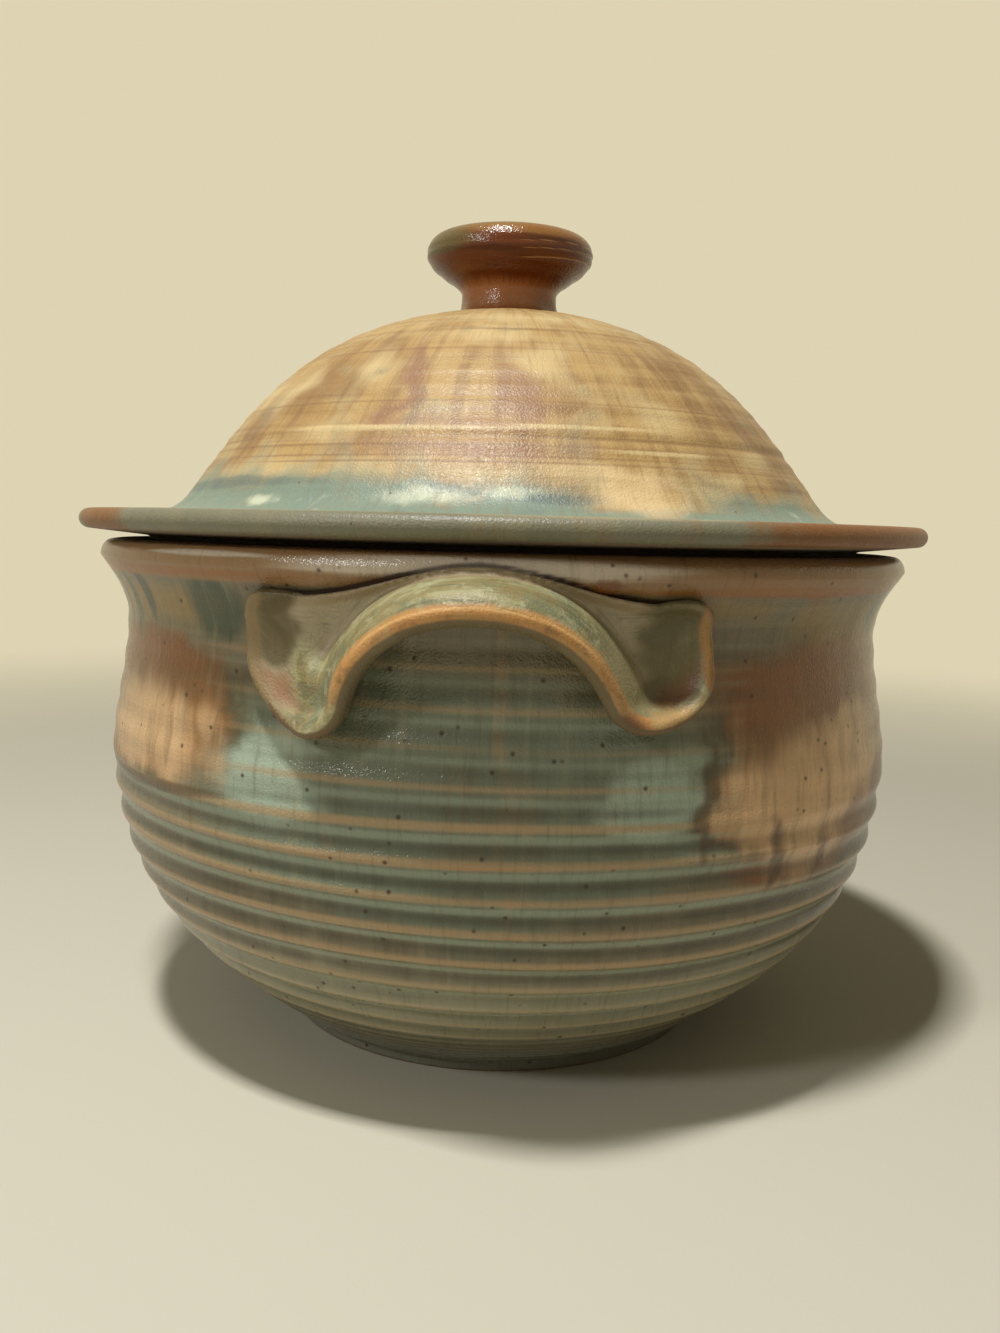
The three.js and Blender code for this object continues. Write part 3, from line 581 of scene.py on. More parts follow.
def section():
    """The strap's section at every station, as offsets aside of its line and out from the wall:
    up the inner face, round the bead, over the full or hollow outer face, across the slab to its
    raised edge, and home behind the wall's face. The outer face is a Bezier curve whose pulls go
    from a full awning on the arch to a hollow in the ear."""
    half, slab = thick / 2, slab_thickness
    t = np.linspace(0, 1, 12)
    inner_aside = (lean - half)[:, None] - lean[:, None] * ease(0, 1, t)
    inner_out = -sunk + (reach - bead + sunk)[:, None] * t
    turn = np.linspace(-np.pi / 2, np.pi * 0.4, 12)[1:]
    bead_aside = (bead - half)[:, None] + bead[:, None] * np.sin(turn)
    bead_out = (reach - bead)[:, None] + bead[:, None] * np.cos(turn)
    start_aside, start_out = bead_aside[:, -1], bead_out[:, -1]
    rise, width = start_out - slab, root - start_aside
    pulls = [
        (start_aside + width * (0.12 + 0.42 * roundness), slab + rise * (0.35 + 0.53 * roundness)),
        (start_aside + width * (0.5 + 0.55 * roundness), slab + rise * (0.05 + 0.55 * roundness)),
        (root + 3 - 1.8 * roundness, slab + 0 * rise),
    ]
    u = np.linspace(0, 1, 18)[1:]
    weights = [(1 - u) ** 3, 3 * (1 - u) ** 2 * u, 3 * (1 - u) * u**2, u**3]
    places = [(start_aside, start_out), *pulls]
    outer_aside, outer_out = (
        sum(place[k][:, None] * weight for place, weight in zip(places, weights)) for k in range(2)
    )
    offset = np.concatenate([inner_aside, bead_aside, outer_aside], 1)
    out = np.concatenate([inner_out, bead_out, outer_out], 1)
    plane = front_line[:, None, :] + offset[..., None] * aside[:, None, :]
    v = np.linspace(0, 1, 18)[1:]
    over_slab = plane[:, -1:, :] + v[None, :, None] * (edge_line[:, None, :] - plane[:, -1:, :])
    open_edge = ebb(6.2, 7.4, station)[:, None]
    raised = slab + 1.0 * bell(v, 0.88, 0.12)[None, :] * open_edge
    down = np.linspace(0, 1, 6)[1:]
    side = np.repeat(edge_line[:, None, :], len(down), 1)
    side_out = slab - (slab + sunk) * down[None, :] + 0 * reach[:, None]
    back_share = np.linspace(0, 1, 10)[1:-1]
    back = edge_line[:, None, :] + back_share[None, :, None] * (plane[:, :1, :] - edge_line[:, None, :])
    back_out = np.full((len(station), len(back_share)), -float(sunk))
    return (
        np.concatenate([plane, over_slab, side, back], 1),
        np.concatenate([out, raised, side_out, back_out], 1),
    )


half_plane, half_out = section()
both_plane = np.concatenate([half_plane[:0:-1] * (-1, 1), half_plane])
both_out = np.concatenate([half_out[:0:-1], half_out])
# The potter's two ears differ: the left one is a soft pillow and its toe hangs lower, and the right
# one is pressed hollow by a thumb.
across, up = np.abs(both_plane[..., 0]), both_plane[..., 1]
side_of = np.sign(both_plane[..., 0]) * ease(20, 45, across)
low_down = ease(1, 2, both_out) * ebb(3.4, 6.5, both_out)
inner_ear = ease(38, 46, across) * ease(122, 133, up) * ebb(147, 154, up) * low_down
pillow = 1.9 * inner_ear * ebb(56, 61, across)
pillow = pillow + 2.6 * low_down * np.exp(-(((across - 43) / 5) ** 2 + ((up - 133) / 9) ** 2))
hollow = inner_ear * ebb(53, 58, across)
both_out = both_out + np.where(side_of < 0, pillow, -1.3 * hollow)
both_out = both_out - 0.7 * np.maximum(both_out - 4.3, 0) * ease(42, 54, across) * (side_of < 0)


def two_ears(x, z, side):
    """How far the left ear (side -1) and the right one (side 1) stray from their common outline. The
    left one's toe hangs 1.4 mm lower and 1.6 mm nearer the middle, and it bulges 2.4 mm out. The right
    one's toe is 2.4 mm higher and 0.8 mm further out, and its top corner 1.6 mm further in. Smooth
    steps in x and z fade each of them out."""
    low = ebb(121, 137, z) * ease(20, 45, x)
    far = ease(44, 56, x)
    left = (1.6 * low - 2.4 * far * ease(124, 138, z) * (1 - 0.7 * ease(147, 154, z)), -1.4 * low)
    right = (0.8 * low - 1.6 * far * ease(140, 150, z), 2.4 * low)
    return np.where(side < 0, left[0], right[0]), np.where(side < 0, left[1], right[1])


stray = two_ears(across, up, side_of)
both_plane = both_plane + np.stack(stray, -1)
rows, around_section = both_out.shape
grid = on_wall(both_plane[..., 0], both_plane[..., 1], both_out)
row, step = np.meshgrid(np.arange(rows - 1), np.arange(around_section), indexing="ij")
follow = (step + 1) % around_section
this_row, next_row = row * around_section, (row + 1) * around_section
tube = np.stack([this_row + step, next_row + step, next_row + follow, this_row + follow], -1).reshape(-1, 4)
cap_centre = np.stack([on_wall(sign * 46.6, 152.5, 0.8) for sign in (-1.0, 1.0)])
ring_at = np.arange(around_section)
next_at = (ring_at + 1) % around_section
start_hub, end_ring = rows * around_section, (rows - 1) * around_section
start_cap = np.stack([np.full_like(ring_at, start_hub), ring_at, next_at], -1)
end_cap = np.stack([np.full_like(ring_at, start_hub + 1), end_ring + next_at, end_ring + ring_at], -1)
clay_points = (np.concatenate([grid.reshape(-1, 3), cap_centre]) * mm).tolist()
clay = bpy.data.meshes.new("handle_clay")
clay.from_pydata(clay_points, [], tube.tolist() + start_cap.tolist() + end_cap.tolist())
lump = bpy.data.objects.new("handle_clay", clay)
bpy.context.collection.objects.link(lump)
remesh = lump.modifiers.new("even_skin", "REMESH")
remesh.mode, remesh.voxel_size = "VOXEL", 0.75 * mm
softened = lump.modifiers.new("wet_sponge", "SMOOTH")
softened.factor, softened.iterations = 0.5, 9
bpy.context.view_layer.update()
sponged = bpy.data.meshes.new_from_object(lump.evaluated_get(bpy.context.evaluated_depsgraph_get()))
bpy.data.objects.remove(lump)

skin = np.empty(len(sponged.vertices) * 3)
sponged.vertices.foreach_get("co", skin)
skin = skin.reshape(-1, 3) / mm


def unrolled(points):
    """How far round the wall from the middle of the arch, at the neck's radius: atan2(x, -y) R."""
    return np.arctan2(points[:, 0], -points[:, 1]) * neck_radius


# A thumb has rubbed the hollow between each leg and its ear: there, and only there, every point moves
# half way to the mean of its neighbours, 30 times over.
ends = np.empty(len(sponged.edges) * 2, dtype=int)
sponged.edges.foreach_get("vertices", ends)
one, other = np.concatenate([ends[::2], ends[1::2]]), np.concatenate([ends[1::2], ends[::2]])
rubbed = np.exp(-(((np.abs(unrolled(skin)) - 44.5) / 6.5) ** 2 + ((skin[:, 2] - 134) / 9) ** 2))
rubbed = 0.5 * ease(0.3, 0.8, rubbed)[:, None] / np.bincount(one)[:, None]
for _ in range(30):
    pull = np.column_stack([np.bincount(one, skin[other, k] - skin[one, k]) for k in range(3)])
    skin = skin + rubbed * pull
skin_around, skin_height = unrolled(skin), skin[:, 2]
skin_out = np.hypot(skin[:, 0], skin[:, 1]) - wall_radius(skin_height)
right_side = np.sign(skin_around)
stray = two_ears(np.abs(skin_around), skin_height, right_side)
plain = np.column_stack([np.abs(skin_around - stray[0]), skin_height - stray[1]]).astype(np.float32)
nearest = np.argmin(((plain[:, None, :] - front_line[None].astype(np.float32)) ** 2).sum(-1), 1)
from_line = plain - front_line[nearest]
skin_aside = (from_line * aside[nearest]).sum(1)
past_end = np.abs((from_line * heading[nearest]).sum(1))
half_thick, roll_size, far_out = thick[nearest] / 2, bead[nearest], reach[nearest]
# Round the bead, 0 degrees is straight out from the wall and 90 is up over the outer face.
bead_up, bead_out = skin_aside + half_thick - roll_size, skin_out - far_out + roll_size
to_bead = np.sqrt(bead_up**2 + bead_out**2 + past_end**2) / roll_size
round_bead = np.degrees(np.arctan2(bead_up, bead_out))
on_left = 0.5 - 0.5 * right_side
on_right = 1 - on_left
across_ear, up_ear = plain.T
bead_kept = (1 - 0.85 * on_left * ebb(121, 136, up_ear)) * (1 - 0.5 * ease(48, 56, across_ear))
bead_kept = bead_kept * (1 - ease(146, 152, up_ear) * ease(38, 44, across_ear))
ragged = 1.2 * np.sin(up_ear / 2.7 + across_ear / 9) + 0.7 * np.sin(up_ear / 1.1 + 1)
stepped = 0.7 * np.sin(across_ear / 1.9) + 0.4 * np.sin(across_ear / 0.83 + 1)
slab_face = ebb(3.2, 7, skin_out)
in_ear = ease(35, 47, across_ear + ragged) * slab_face
below_edge = up_ear - np.interp(across_ear, slab_edge[:, 0], slab_edge[:, 1])
# Painted shade on the bead's underside and the strap just below it.
painted_shade_under_bead = ebb(-32, 8, round_bead) * ease(0.5, 3, skin_out) * ebb(1.3, 3.5, bead_up)
red_spot = np.exp(-(((across_ear - 34) / 6) ** 2 + ((up_ear - 122) / 6) ** 2))
handle_fields = {
    "bead": bead_kept * ease(-45, -5, round_bead) * ebb(60, 115, round_bead) * ebb(1.2, 2.0, to_bead),
    # A painted highlight along the bead's top.
    "painted_glint": bell(round_bead, 50, 16) * ebb(1.2, 1.8, to_bead) * ebb(20, 34, across_ear),
    "painted_shade_under": painted_shade_under_bead * ebb(15.5, 17, station[nearest]),
    "slab": slab_face,
    "ear_top": in_ear * ease(132, 137, up_ear + stepped) * ease(43, 49, across_ear + ragged) * on_left,
    "ear_low": in_ear * ebb(132, 137, up_ear + stepped) * on_left,
    "hollow": in_ear * on_right,
    "hollow_low": in_ear * ebb(124, 142, up_ear - 0.8 * (across_ear - 48)) * on_right,
    # Cream-tan glaze on the right toe, brightened as a painted highlight.
    "toe_tan_and_painted_highlight": ebb(122, 132, up_ear) * ease(38, 43, across_ear) * on_right,
    "toe_red": red_spot * on_right * (skin_out > 2),
    "toe_edge": ebb(118, 126, up_ear - 0.4 * np.abs(across_ear - 42)) * ease(30, 38, across_ear),
    "rim_brown": ease(57, 58.6, across_ear) * ease(124, 134, up_ear) * on_right,
    "rim_tan": ease(53, 58, across_ear) * on_left,
    # Painted shade: the right leg is darker, as on the side turned from the lamp.
    "painted_shade_right_leg": ease(24, 33, across_ear) * ebb(40, 46, across_ear) * on_right,
    "slab_lip": bell(below_edge, -1.4, 2.2) * ebb(5, 7, skin_out),
    # Painted shade: dark where the handle's clay meets the wall.
    "painted_shade_at_wall": ebb(0.3, 1.5, skin_out),
    "bare": np.zeros(len(skin)),
}
faces = np.empty(len(sponged.loops), dtype=int)
sponged.loops.foreach_get("vertex_index", faces)

# Olive celadon gone cream on the outer face and burnt orange on the bead where it ran thin, with a
# painted highlight along the bead's top and painted shade on its underside. The second ear is darker
# in its hollow. Patterns are finer than the pot's, clouds 14 mm, drips 2.4 mm wide and 17 mm long,
# washes 6 mm wide, and the strap's way is along, aside and out, so that runs follow it.
handle_grains = {
    "cloud": ((70, 70, 70), 4, 0.5),
    "run": ((60, 420, 420), 4, 0.6),
    "sheet": ((40, 170, 170), 3, 0.6),
    "wheel": ((60, 250, 250), 3, 0.45),
    "hair": ((60, 900, 900), 2, 0.3),
    "blot": ((150, 150, 150), 3, 0.6),
    "grain": ((700, 700, 700), 3, 0.3),
    "peel": ((1350, 1350, 1350), 1, 0),
}
handle_glaze = glaze("pulled_strap_celadon_glaze", "#8b8158", [
    ("#60634a", None, "run", 0, 0.47, 0.6, 0.6),
    ("#aaa47a", None, "sheet", 0, 0.46, 0.62, 0.6),
    ("#86693d", None, "blot", 0, 0.52, 0.66, 0.5),
    ("#6c7459", None, "cloud", 0, 0.48, 0.62, 0.7),
    ("#b3b08a", None, "blot", 0, 0.48, 0.36, 0.5),
    # Painted shade on the right leg.
    ("#958b66", "painted_shade_right_leg", "run", 0.9, 0.7, 1.5, 0.8),
    ("#a7997d", "slab", "blot", 0.5, 0.6, 1.0, 0.9),
    ("#7a6c4c", "slab", "cloud", 1.2, 1.6, 1.85, 0.4),
    ("#7b8069", "slab", "blot", 1.2, 1.6, 1.85, 0.6),
    ("#94805e", "slab_lip", "wheel", 0.5, 0.6, 1.2, 0.75),
    ("#554925", "ear_top", "cloud", 1.0, 0.7, 1.45, 0.95),
    ("#717867", "ear_top", "blot", 1.4, 1.7, 2.0, 0.6),
    ("#946746", "ear_low", "cloud", 0.9, 0.6, 1.4, 0.9),
    ("#a67a58", "ear_low", "blot", 1.4, 1.75, 2.1, 0.5),
    ("#58512e", "hollow", "cloud", 0.9, 0.6, 1.5, 0.9),
    ("#72765c", "hollow", "blot", 1.4, 1.75, 2.1, 0.6),
    ("#6e3f26", "hollow_low", "cloud", 0.9, 0.75, 1.55, 0.85),
    ("#c38a4b", "bead", "cloud", 1.2, 0.8, 1.8, 0.9),
    ("#7d5228", "bead", "blot", 1.6, 1.85, 2.2, 0.75),
    ("#a69468", "bead", "blot", 1.4, 1.8, 2.1, 0.45),
    # Painted highlight along the bead's top.
    ("#dcb070", "painted_glint", "run", 0.9, 0.75, 1.45, 0.75),
    ("#b49562", "toe_tan_and_painted_highlight", "blot", 0.9, 0.75, 1.5, 0.92),
    ("#5a3622", "toe_red", "blot", 0.6, 0.6, 1.2, 0.8),
    # Painted shade under the bead.
    ("#655538", "painted_shade_under", "cloud", 0.6, 0.5, 1.15, 0.9),
    ("#6f4c2b", "toe_edge", "run", 0.9, 0.95, 1.7, 0.7),
    ("#a0733c", "rim_brown", "blot", 1.0, 0.8, 1.6, 0.8),
    ("#5e3a1c", "rim_brown", "grain", 1.4, 1.8, 2.1, 0.5),
    ("#8b7550", "rim_tan", "run", 0.8, 0.7, 1.5, 0.8),
    # Painted shade along the handle's join with the wall.
    ("#2f211b", "painted_shade_at_wall", "cloud", 0.3, 0.6, 1.0, 0.85),
    ("#55502f", None, "hair", 0, 0.52, 0.75, 0.4),
], handle_grains, gloss=(0.38, 0.54), flecks=(11, 0.5))
travelled = lengths(front_line)
# The rear handle is the front one turned half round, its glaze read 0.37 m away so that it differs.
for handle_name, node, turned, shift in (
    ("front_strap", "front_handle", 1, 0.0),
    ("rear_strap", "rear_handle", -1, 0.37),
):
    way = np.column_stack([right_side * travelled[nearest] * mm + shift, skin_aside * mm, skin_out * mm + shift])
    handle = mesh_piece(handle_name, skin * (turned, turned, 1), faces.reshape(-1, 4), handle_fields, way)
    handle.data.materials.append(handle_glaze)
    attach(handle, "pot")
    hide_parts(node)


# Lid. Thrown upside down as a bowl with a split rim: the outer half lies out as the flange and the
# inner half is the collar that drops into the pot. Glazed like the pot, thick teal above the flange.
flange_edge = (146, 172.6)
flange_under, flange_over = (142.8, 169.4), (142.8, 175.8)
collar_root, collar_foot = (115.9, 167.6), (115.9, 157.1)
dome_foot = (119.5, 175.8)
lid_outline = chain(
    bend((0, 241.9), (66.76, 241.9), (87.89, 202.15), (102.714, 183.183), 3),
    bend((102.714, 183.183), (105.91, 179.09), (115.9, 172.79), collar_root, 2),
    straight(collar_root, collar_foot, 2),
    quarter(collar_foot, (117.4, 155.6), 3),
    straight((117.4, 155.6), (119.2, 155.6), 1),
    quarter((120.7, 157.1), (119.2, 155.6), 3)[::-1],
    straight((120.7, 157.1), (121.9, 163.6), 1.6),
    quarter((121.9, 163.6), (125.9, 167.6), 5),
    straight((125.9, 167.6), flange_under, 1.8),
    quarter(flange_edge, flange_under, 7)[::-1],
    quarter(flange_edge, flange_over, 7),
    bend(flange_over, (135, 175.9), (127, 175.7), dome_foot, 0.9),
    bend(dome_foot, (113.907, 177.144), (111.289, 181.176), (107.6, 187), 0.75),
    bend((107.6, 187), (92.18, 206.74), (69.94, 248.1), (0, 248.1), 0.75),
)
lid_outline[0, 0] = lid_outline[-1, 0] = 0
lid_radius, lid_level = lid_outline[:, :1], lid_outline[:, 1:]
lid_top = (np.arange(len(lid_outline)) >= nearest_ring(lid_outline, flange_edge))[:, None]
lid_dome = lid_top * ease(176.5, 184, lid_level)
lid_far = lengths(lid_outline)[:, None]
off_pole = ease(4, 24, lid_radius)
lid_rings = 0.1 * np.sin(2 * np.pi * lid_far / 8.6 + 1.9 * np.sin(lid_far / 14) + 0.5 * np.sin(turned_by))
lid_rings = lid_rings + 0.03 * np.sin(2 * np.pi * lid_far / 3.1 + 1.2 * np.sin(2 * turned_by + lid_far / 19))
lid_rings = lid_rings + 0.28 * bell(lid_level, 200.2, 1.2) - 0.2 * bell(lid_level, 197.6, 1.0)
lid_relief = lid_rings * lid_dome * off_pole + 0.1 * np.sin(3 * turned_by + 0.5) * lid_dome * off_pole
lid_relief = lid_relief - 0.25 * lid_dome * off_pole
lid_sway = azimuth + 2.2 * np.sin(lid_level / 4.3 + 3 * turned_by)
lid_sway = lid_sway + 1.3 * np.sin(lid_level / 2.1 + 1.7 + 8 * turned_by)
lid_drift = lid_level + 0.5 * np.sin(5 * turned_by + 0.6) + 0.35 * np.sin(11 * turned_by + 1.1)
lid_drift = lid_drift + 0.2 * np.sin(29 * turned_by + lid_level / 9)


def on_dome(*ovals, edge=1):
    """Patches of the upper side, read at the swaying azimuth and height."""
    return lid_top * patches(lid_sway, lid_drift, *ovals, edge=edge)


ring_heights = (198.2, 195.6, 192.4, 190.6, 208.5, 226.0, 233.5)
below_lid = ~lid_top & (lid_radius < 141)
lid_fields = {
    "teal": ebb(121, 129, lid_radius) * on_dome(
        (0, 176, 400, 2.6), (-58, 179.5, 30, 9.5), (-24, 179, 25, 8.5), (4, 178, 13, 8), (50, 177, 20, 6),
        (92, 179, 25, 8.5), (140, 178, 30, 8.5), (190, 179.5, 30, 9.5), (245, 178, 30, 7.5), (285, 179, 20, 8.5),
    ),
    # Whitish frost on the teal; the patches at the front are a painted highlight.
    "frost_and_painted_highlight": on_dome((-11, 181, 8, 3.5), (2, 183, 6, 2.5), (-34, 179, 5, 2), (100, 181, 9, 3.5), (196, 181, 8, 3)),
    "fringe": on_dome(
        (-50, 184.5, 24, 2.4), (-8, 182.5, 10, 2.0), (10, 181, 8, 1.8), (100, 185, 26, 2.2),
        (190, 186, 26, 2), (250, 184, 20, 2), edge=2,
    ),
    "peach": on_dome(
        (20, 182, 9, 6.5), (23, 187, 8, 4), (118, 188, 10, 8), (212, 186, 9, 8), (160, 216, 12, 10), (260, 214, 10, 9),
    ),
    "cream": lid_top * patches(azimuth, lid_level, (-14, 200.3, 22, 0.8), (14, 201.2, 14, 0.7), (28, 194.6, 12, 0.7))
             + 0.85 * on_dome(
        (-3, 232, 16, 5), (6, 239, 44, 4), (44, 187, 9, 3), (-27, 220, 6, 9), (-42, 188.5, 16, 5),
        (-30, 199, 10, 4), (50, 194, 7, 4), (-22, 188, 12, 4), (-2, 187.5, 9, 3), (13, 189, 9, 4),
        (36, 183, 10, 6), (30, 206, 7, 9), (-48, 214, 6, 10), (12, 222, 7, 10), (95, 205, 24, 8),
        (150, 196, 34, 3), (200, 224, 26, 8), (240, 200, 26, 5), (300, 214, 18, 7),
    ),
    "pink": on_dome(
        (-17, 212, 3.5, 18), (4, 212, 5.5, 14), (-8, 202, 16, 3), (-6, 194.5, 26, 3.2), (27, 186, 4, 2.5),
        (76, 212, 9, 14), (178, 208, 10, 14), (280, 205, 9, 12),
    ),
    "brown": on_dome(
        (-52, 202, 7, 16), (-37, 214, 10, 16), (-26, 226, 8, 8), (-17, 214, 2.2, 16), (56, 203, 17, 13, -0.2),
        (58, 187, 9, 3), (-4, 234, 24, 0.8), (44, 222, 12, 8, 0.2), (118, 210, 12, 22), (170, 190, 24, 5),
        (228, 212, 12, 20), (318, 215, 12, 14),
    ),
    "lines": lid_dome * sum(bell(lid_level, at, 0.6) for at in ring_heights),
    "flange": ease(116, 122, lid_radius) * ebb(176.4, 178.4, lid_level) * ease(127, 129, lid_radius + 30 * lid_top),
    "flange_rust": patches(
        lid_sway + 4 * np.sin(lid_radius / 3), lid_radius + 2 * np.sin(13 * turned_by),
        (-58, 147, 11, 8), (60, 146, 36, 14), (34, 147, 12, 9), (104, 134, 16, 7), (131, 146, 22, 8),
        (176, 136, 12, 6), (205, 147, 22, 9), (262, 143, 15, 11), (318, 132, 9, 5),
    ),
    # A pale band round the flange's top, partly a painted highlight along its edge.
    "flange_pale_and_painted_highlight": lid_top * patches(
        azimuth, lid_radius, (-20, 141, 34, 3), (14, 142, 22, 3), (100, 142, 30, 3), (180, 142, 34, 3),
        (300, 142, 22, 3),
    ),
    "liner": below_lid & (lid_radius < 116.5),
    "bare": below_lid & (lid_radius >= 116.5),
}
lid_piece = thrown("lid_dome", lid_outline, lid_relief, lid_fields, closed=False)
# The celadon lies thin over the dome and lets the iron through as ochre, cream and pinkish brown,
# runs down in streaks, and gathers as teal in the angle above the flange.
lid_piece.data.materials.append(glaze("ochre_breaking_celadon_glaze", "#b08f59", [
    ("#86643a", None, "sheet", 0, 0.48, 0.68, 0.65),
    ("#c7ab76", None, "cloud", 0, 0.46, 0.68, 0.65),
    ("#8e6c44", None, "run", 0, 0.48, 0.64, 0.6),
    ("#bc9e66", None, "wheel", 0, 0.5, 0.68, 0.5),
    ("#87653f", None, "wheel", 0, 0.46, 0.3, 0.5),
    ("#84603a", "brown", "run", 1.3, 0.8, 1.7, 0.75),
    ("#946b50", "pink", "sheet", 1.3, 0.8, 1.75, 0.65),
    ("#d8c08b", "cream", "sheet", 1.3, 0.85, 1.8, 0.75),
    ("#7f5a38", "lines", "wheel", 1.6, 1.2, 2.05, 0.65),
    ("#778b7c", "teal", "cloud", 1.5, 0.75, 1.6, 0.92),
    ("#5c6e66", "teal", "cloud", 1.5, 1.75, 2.1, 0.7),
    ("#b3bda6", "teal", "blot", 1.5, 1.85, 2.15, 0.65),
    ("#566762", "fringe", "sheet", 1.1, 0.85, 1.7, 0.7),
    # Whitish frost, at the front a painted highlight.
    ("#d6d8b8", "frost_and_painted_highlight", "blot", 1.1, 0.9, 1.65, 0.72),
    ("#e8ca95", "peach", "cloud", 1.4, 0.85, 1.8, 0.85),
    ("#cf8f5c", "peach", "grain", 1.5, 1.75, 2.15, 0.45),
    ("#6c6e5c", "flange", "cloud", 0.3, 0.5, 1.0, 0.92),
    ("#817b60", "flange", "sheet", 1.2, 1.55, 1.85, 0.6),
    ("#a69c7a", "flange_pale_and_painted_highlight", "wheel", 0.6, 0.6, 1.2, 0.6),
    ("#7a4818", "flange_rust", "cloud", 1.6, 0.9, 1.6, 0.9),
    ("#978c68", "liner", "cloud", 0.2, 0.5, 1.0, 1.0),
    ("#7f6339", None, "hair", 0, 0.5, 0.78, 0.35),
], glaze_grains, gloss=(0.36, 0.52), flecks=(16, 0.5)))
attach(lid_piece, "lid")
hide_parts("lid")


# Knob. Thrown straight on to the trimmed lid as a narrow neck that opens to a rounded disc, dished
# on top, with the marks of eight fingertips where its foot was pressed down.
knob_edge, knob_top = (29.5, 268), (23.5, 274.5)
knob_outline = chain(
    straight((0, 247.7), (19.0, 246.9), 3),
    bend((19.0, 246.9), (17.6, 248.2), (16.9, 251.0), (16.9, 254.3), 0.5),
    bend((16.9, 254.3), (16.9, 258.27), (29.5, 261.56), knob_edge, 0.5),
    quarter(knob_edge, knob_top, 16),
    bend(knob_top, (17, 274.5), (10, 272.9), (0, 272.9), 0.8),
)
knob_outline[0, 0] = knob_outline[-1, 0] = 0
knob_radius, knob_level = knob_outline[:, :1], knob_outline[:, 1:]
knob_azimuth = np.linspace(0, 360, 192, endpoint=False)[None, :]
knob_turn = np.radians(knob_azimuth)
fingertip = np.abs(np.sin(4 * knob_turn + 0.6 + 0.3 * np.sin(knob_turn)))
knob_relief = -0.55 * (knob_radius > 15) * bell(knob_level, 249.2, 2.6) * fingertip**1.5
# The wire that cut it left three lines, tilted to the disc and worn away on the left.
wire_lines = (0.0, 2.6, 5.0)
spiral = knob_level - 263.2 - 1.8 * np.sin(knob_turn - 0.6)
wire_kept = ease(0.1, 0.8, np.sin(knob_turn + 0.4)) * (knob_radius > 17)
for wire in wire_lines:
    knob_relief = knob_relief - 0.22 * bell(spiral, wire, 0.35) * wire_kept
knob_rings = 0.1 * np.sin(2 * np.pi * knob_level / 3.4 + np.sin(knob_turn))
knob_relief = knob_relief + knob_rings * ease(255, 260, knob_level) * ebb(268, 272, knob_level)
knob_relief = knob_relief - 0.1 * ease(15, 17, knob_radius)
above_print = knob_level - 249.9 - 2.0 * fingertip
knob_fields = {
    "olive": ease(10, 22, knob_radius) * patches(
        knob_azimuth, knob_level, (-48, 269, 40, 4.5), (-20, 273, 40, 2.5), (150, 268, 40, 4), (250, 270, 40, 5),
    ),
    # Amber round the disc's top edge, partly a painted highlight.
    "amber_and_painted_highlight": ease(14, 22, knob_radius) * patches(knob_azimuth, knob_level, (20, 272.5, 70, 3), (190, 272.5, 60, 3)),
    "neck": ebb(253, 261, knob_level),
    "wire": sum(bell(spiral, wire, 0.3) for wire in wire_lines) * wire_kept,
    "press": (0.7 * bell(above_print, 0, 0.9) + 0.4 * ebb(-1, 0.5, above_print)) * (knob_radius > 15),
    "bare": 0.0,
}
knob = thrown("lid_knob_disc", knob_outline, knob_relief, knob_fields, closed=False)
# The iron slip is thick here and the celadon almost nil: glossy red-brown, amber on its edge and
# there partly a painted highlight, with an olive bloom on one side.
knob.data.materials.append(glaze("iron_saturate_glaze", "#642f08", [
    ("#441b03", None, "wheel", 0, 0.48, 0.64, 0.7),
    ("#7a4613", None, "cloud", 0, 0.5, 0.7, 0.6),
    ("#a96a3a", "neck", "run", 0.6, 0.5, 1.2, 0.85),
    ("#5f5530", "olive", "cloud", 1.0, 0.75, 1.55, 0.85),
    ("#93642c", "amber_and_painted_highlight", "wheel", 0.9, 0.75, 1.5, 0.7),
    ("#a06f4b", "press", "blot", 0.5, 0.45, 1.3, 0.6),
    ("#b08455", "wire", "cloud", 0.2, 0.5, 1.0, 0.8),
], glaze_grains, gloss=(0.14, 0.28), flecks=(16, 0.4)))
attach(knob, "lid")
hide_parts("lid_knob")


# Studio. A plain pale floor of matt paper, a small lamp high over the pot, a weaker one like a
# window on the left, and an even fill, set so that a colour renders about as it is written.
half_floor = 5
floor_points = np.array([(-1, -1, 0), (1, -1, 0), (1, 1, 0), (-1, 1, 0)]) * half_floor / mm
floor = mesh_piece("studio_floor", floor_points, np.array([(0, 1, 2, 3)]), {})
paper = bpy.data.materials.new("matt_paper")
paper.use_nodes = True
sheet = paper.node_tree
paper_shader = sheet.nodes["Principled BSDF"]
paper_shader.inputs["Base Color"].default_value = tone("#cac5b2")
paper_shader.inputs["Roughness"].default_value = 0.9
wall_cream = tone("#ded4b4")


def seen(tree):
    """1 for a ray from the camera or off something glossy, else 0."""
    ray = add(tree, "LightPath").outputs
    return add(tree, "Math", {0: ray["Is Camera Ray"], 1: ray["Is Glossy Ray"]}, operation="MAXIMUM").outputs[0]


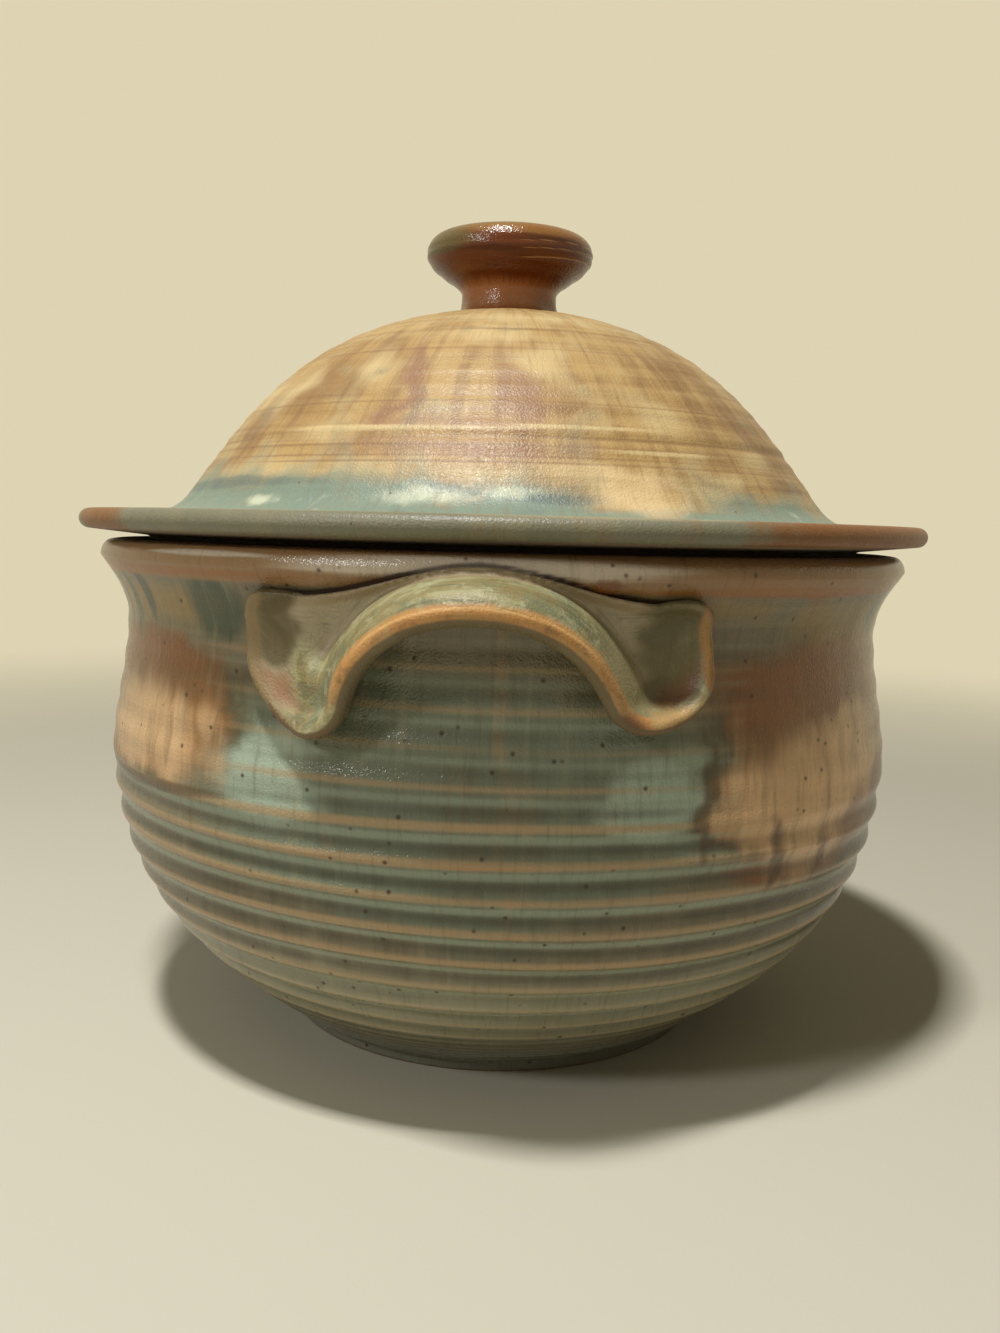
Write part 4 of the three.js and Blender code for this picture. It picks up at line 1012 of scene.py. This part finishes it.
# Away from the pot, the camera and reflections see the paper fade to the pale cream of the wall.
glow = add(sheet, "Emission", {"Color": wall_cream, "Strength": 1.0}).outputs[0]
centred = add(sheet, "TexCoord").outputs["Object"]
away = add(sheet, "VectorMath", {0: centred}, operation="LENGTH").outputs["Value"]
fading = {"Value": away, "From Min": 0.35, "From Max": 1.3, "To Max": 1.0}
far_off = add(sheet, "MapRange", fading, interpolation_type="SMOOTHSTEP").outputs[0]
shown = add(sheet, "Math", {0: far_off, 1: seen(sheet)}, operation="MULTIPLY").outputs[0]
mixed = add(sheet, "MixShader", {0: shown, 1: paper_shader.outputs[0], 2: glow}).outputs[0]
sheet.links.new(mixed, sheet.nodes["Material Output"].inputs["Surface"])
floor.data.materials.append(paper)

world = bpy.data.worlds.new("even_fill")
bpy.context.scene.world = world
world.use_nodes = True
sky = world.node_tree
fill = sky.nodes["Background"]
fill.inputs["Color"].default_value = tone("#f5e9cf")
fill.inputs["Strength"].default_value = 0.13
sky_glow = add(sky, "Background", {"Color": wall_cream, "Strength": 1.0}).outputs[0]
sky_mixed = add(sky, "MixShader", {0: seen(sky), 1: fill.outputs[0], 2: sky_glow}).outputs[0]
sky.links.new(sky_mixed, sky.nodes["World Output"].inputs["Surface"])
lamp_size = 0.14
lamp_target = Vector((0, 0, 0.13))
for lamp_name, place, power in (
    ("ceiling_softbox", (-0.2, -0.5, 1.58), 24),
    ("left_window", (-0.68, -0.8, 0.68), 3.2),
):
    lamp = bpy.data.lights.new(lamp_name, "AREA")
    lamp.shape, lamp.size, lamp.size_y, lamp.energy = "RECTANGLE", lamp_size, lamp_size, power
    stand = bpy.data.objects.new(lamp_name, lamp)
    aim = (lamp_target - Vector(place)).to_track_quat("-Z", "Y")
    stand.matrix_world = Matrix.Translation(place) @ aim.to_matrix().to_4x4()
    bpy.context.collection.objects.link(stand)

# Camera where the photograph was taken: 426 mm from the axis and 173 mm up, 2.4 degrees round to
# the right, tilted 6.84 degrees down and rolled 1.41 degrees.
camera_distance, camera_height = 0.4262, 0.1726
round_to, down, roll = np.radians([2.42, 6.84, 1.41])
lens = bpy.data.cameras.new("photo_view")
lens.sensor_width, lens.lens = 36, 36 * 1157 / 1333
lens.clip_start, lens.clip_end = 0.01, 20
camera = bpy.data.objects.new("photo_view", lens)
spot = Vector((camera_distance * np.sin(round_to), -camera_distance * np.cos(round_to), camera_height))
camera.matrix_world = (
    Matrix.Translation(spot) @ Matrix.Rotation(round_to, 4, "Z")
    @ Matrix.Rotation(np.pi / 2 - down, 4, "X") @ Matrix.Rotation(roll, 4, "Z")
)
bpy.context.collection.objects.link(camera)
bpy.context.scene.camera = camera
bpy.context.scene.view_settings.view_transform = "Standard"
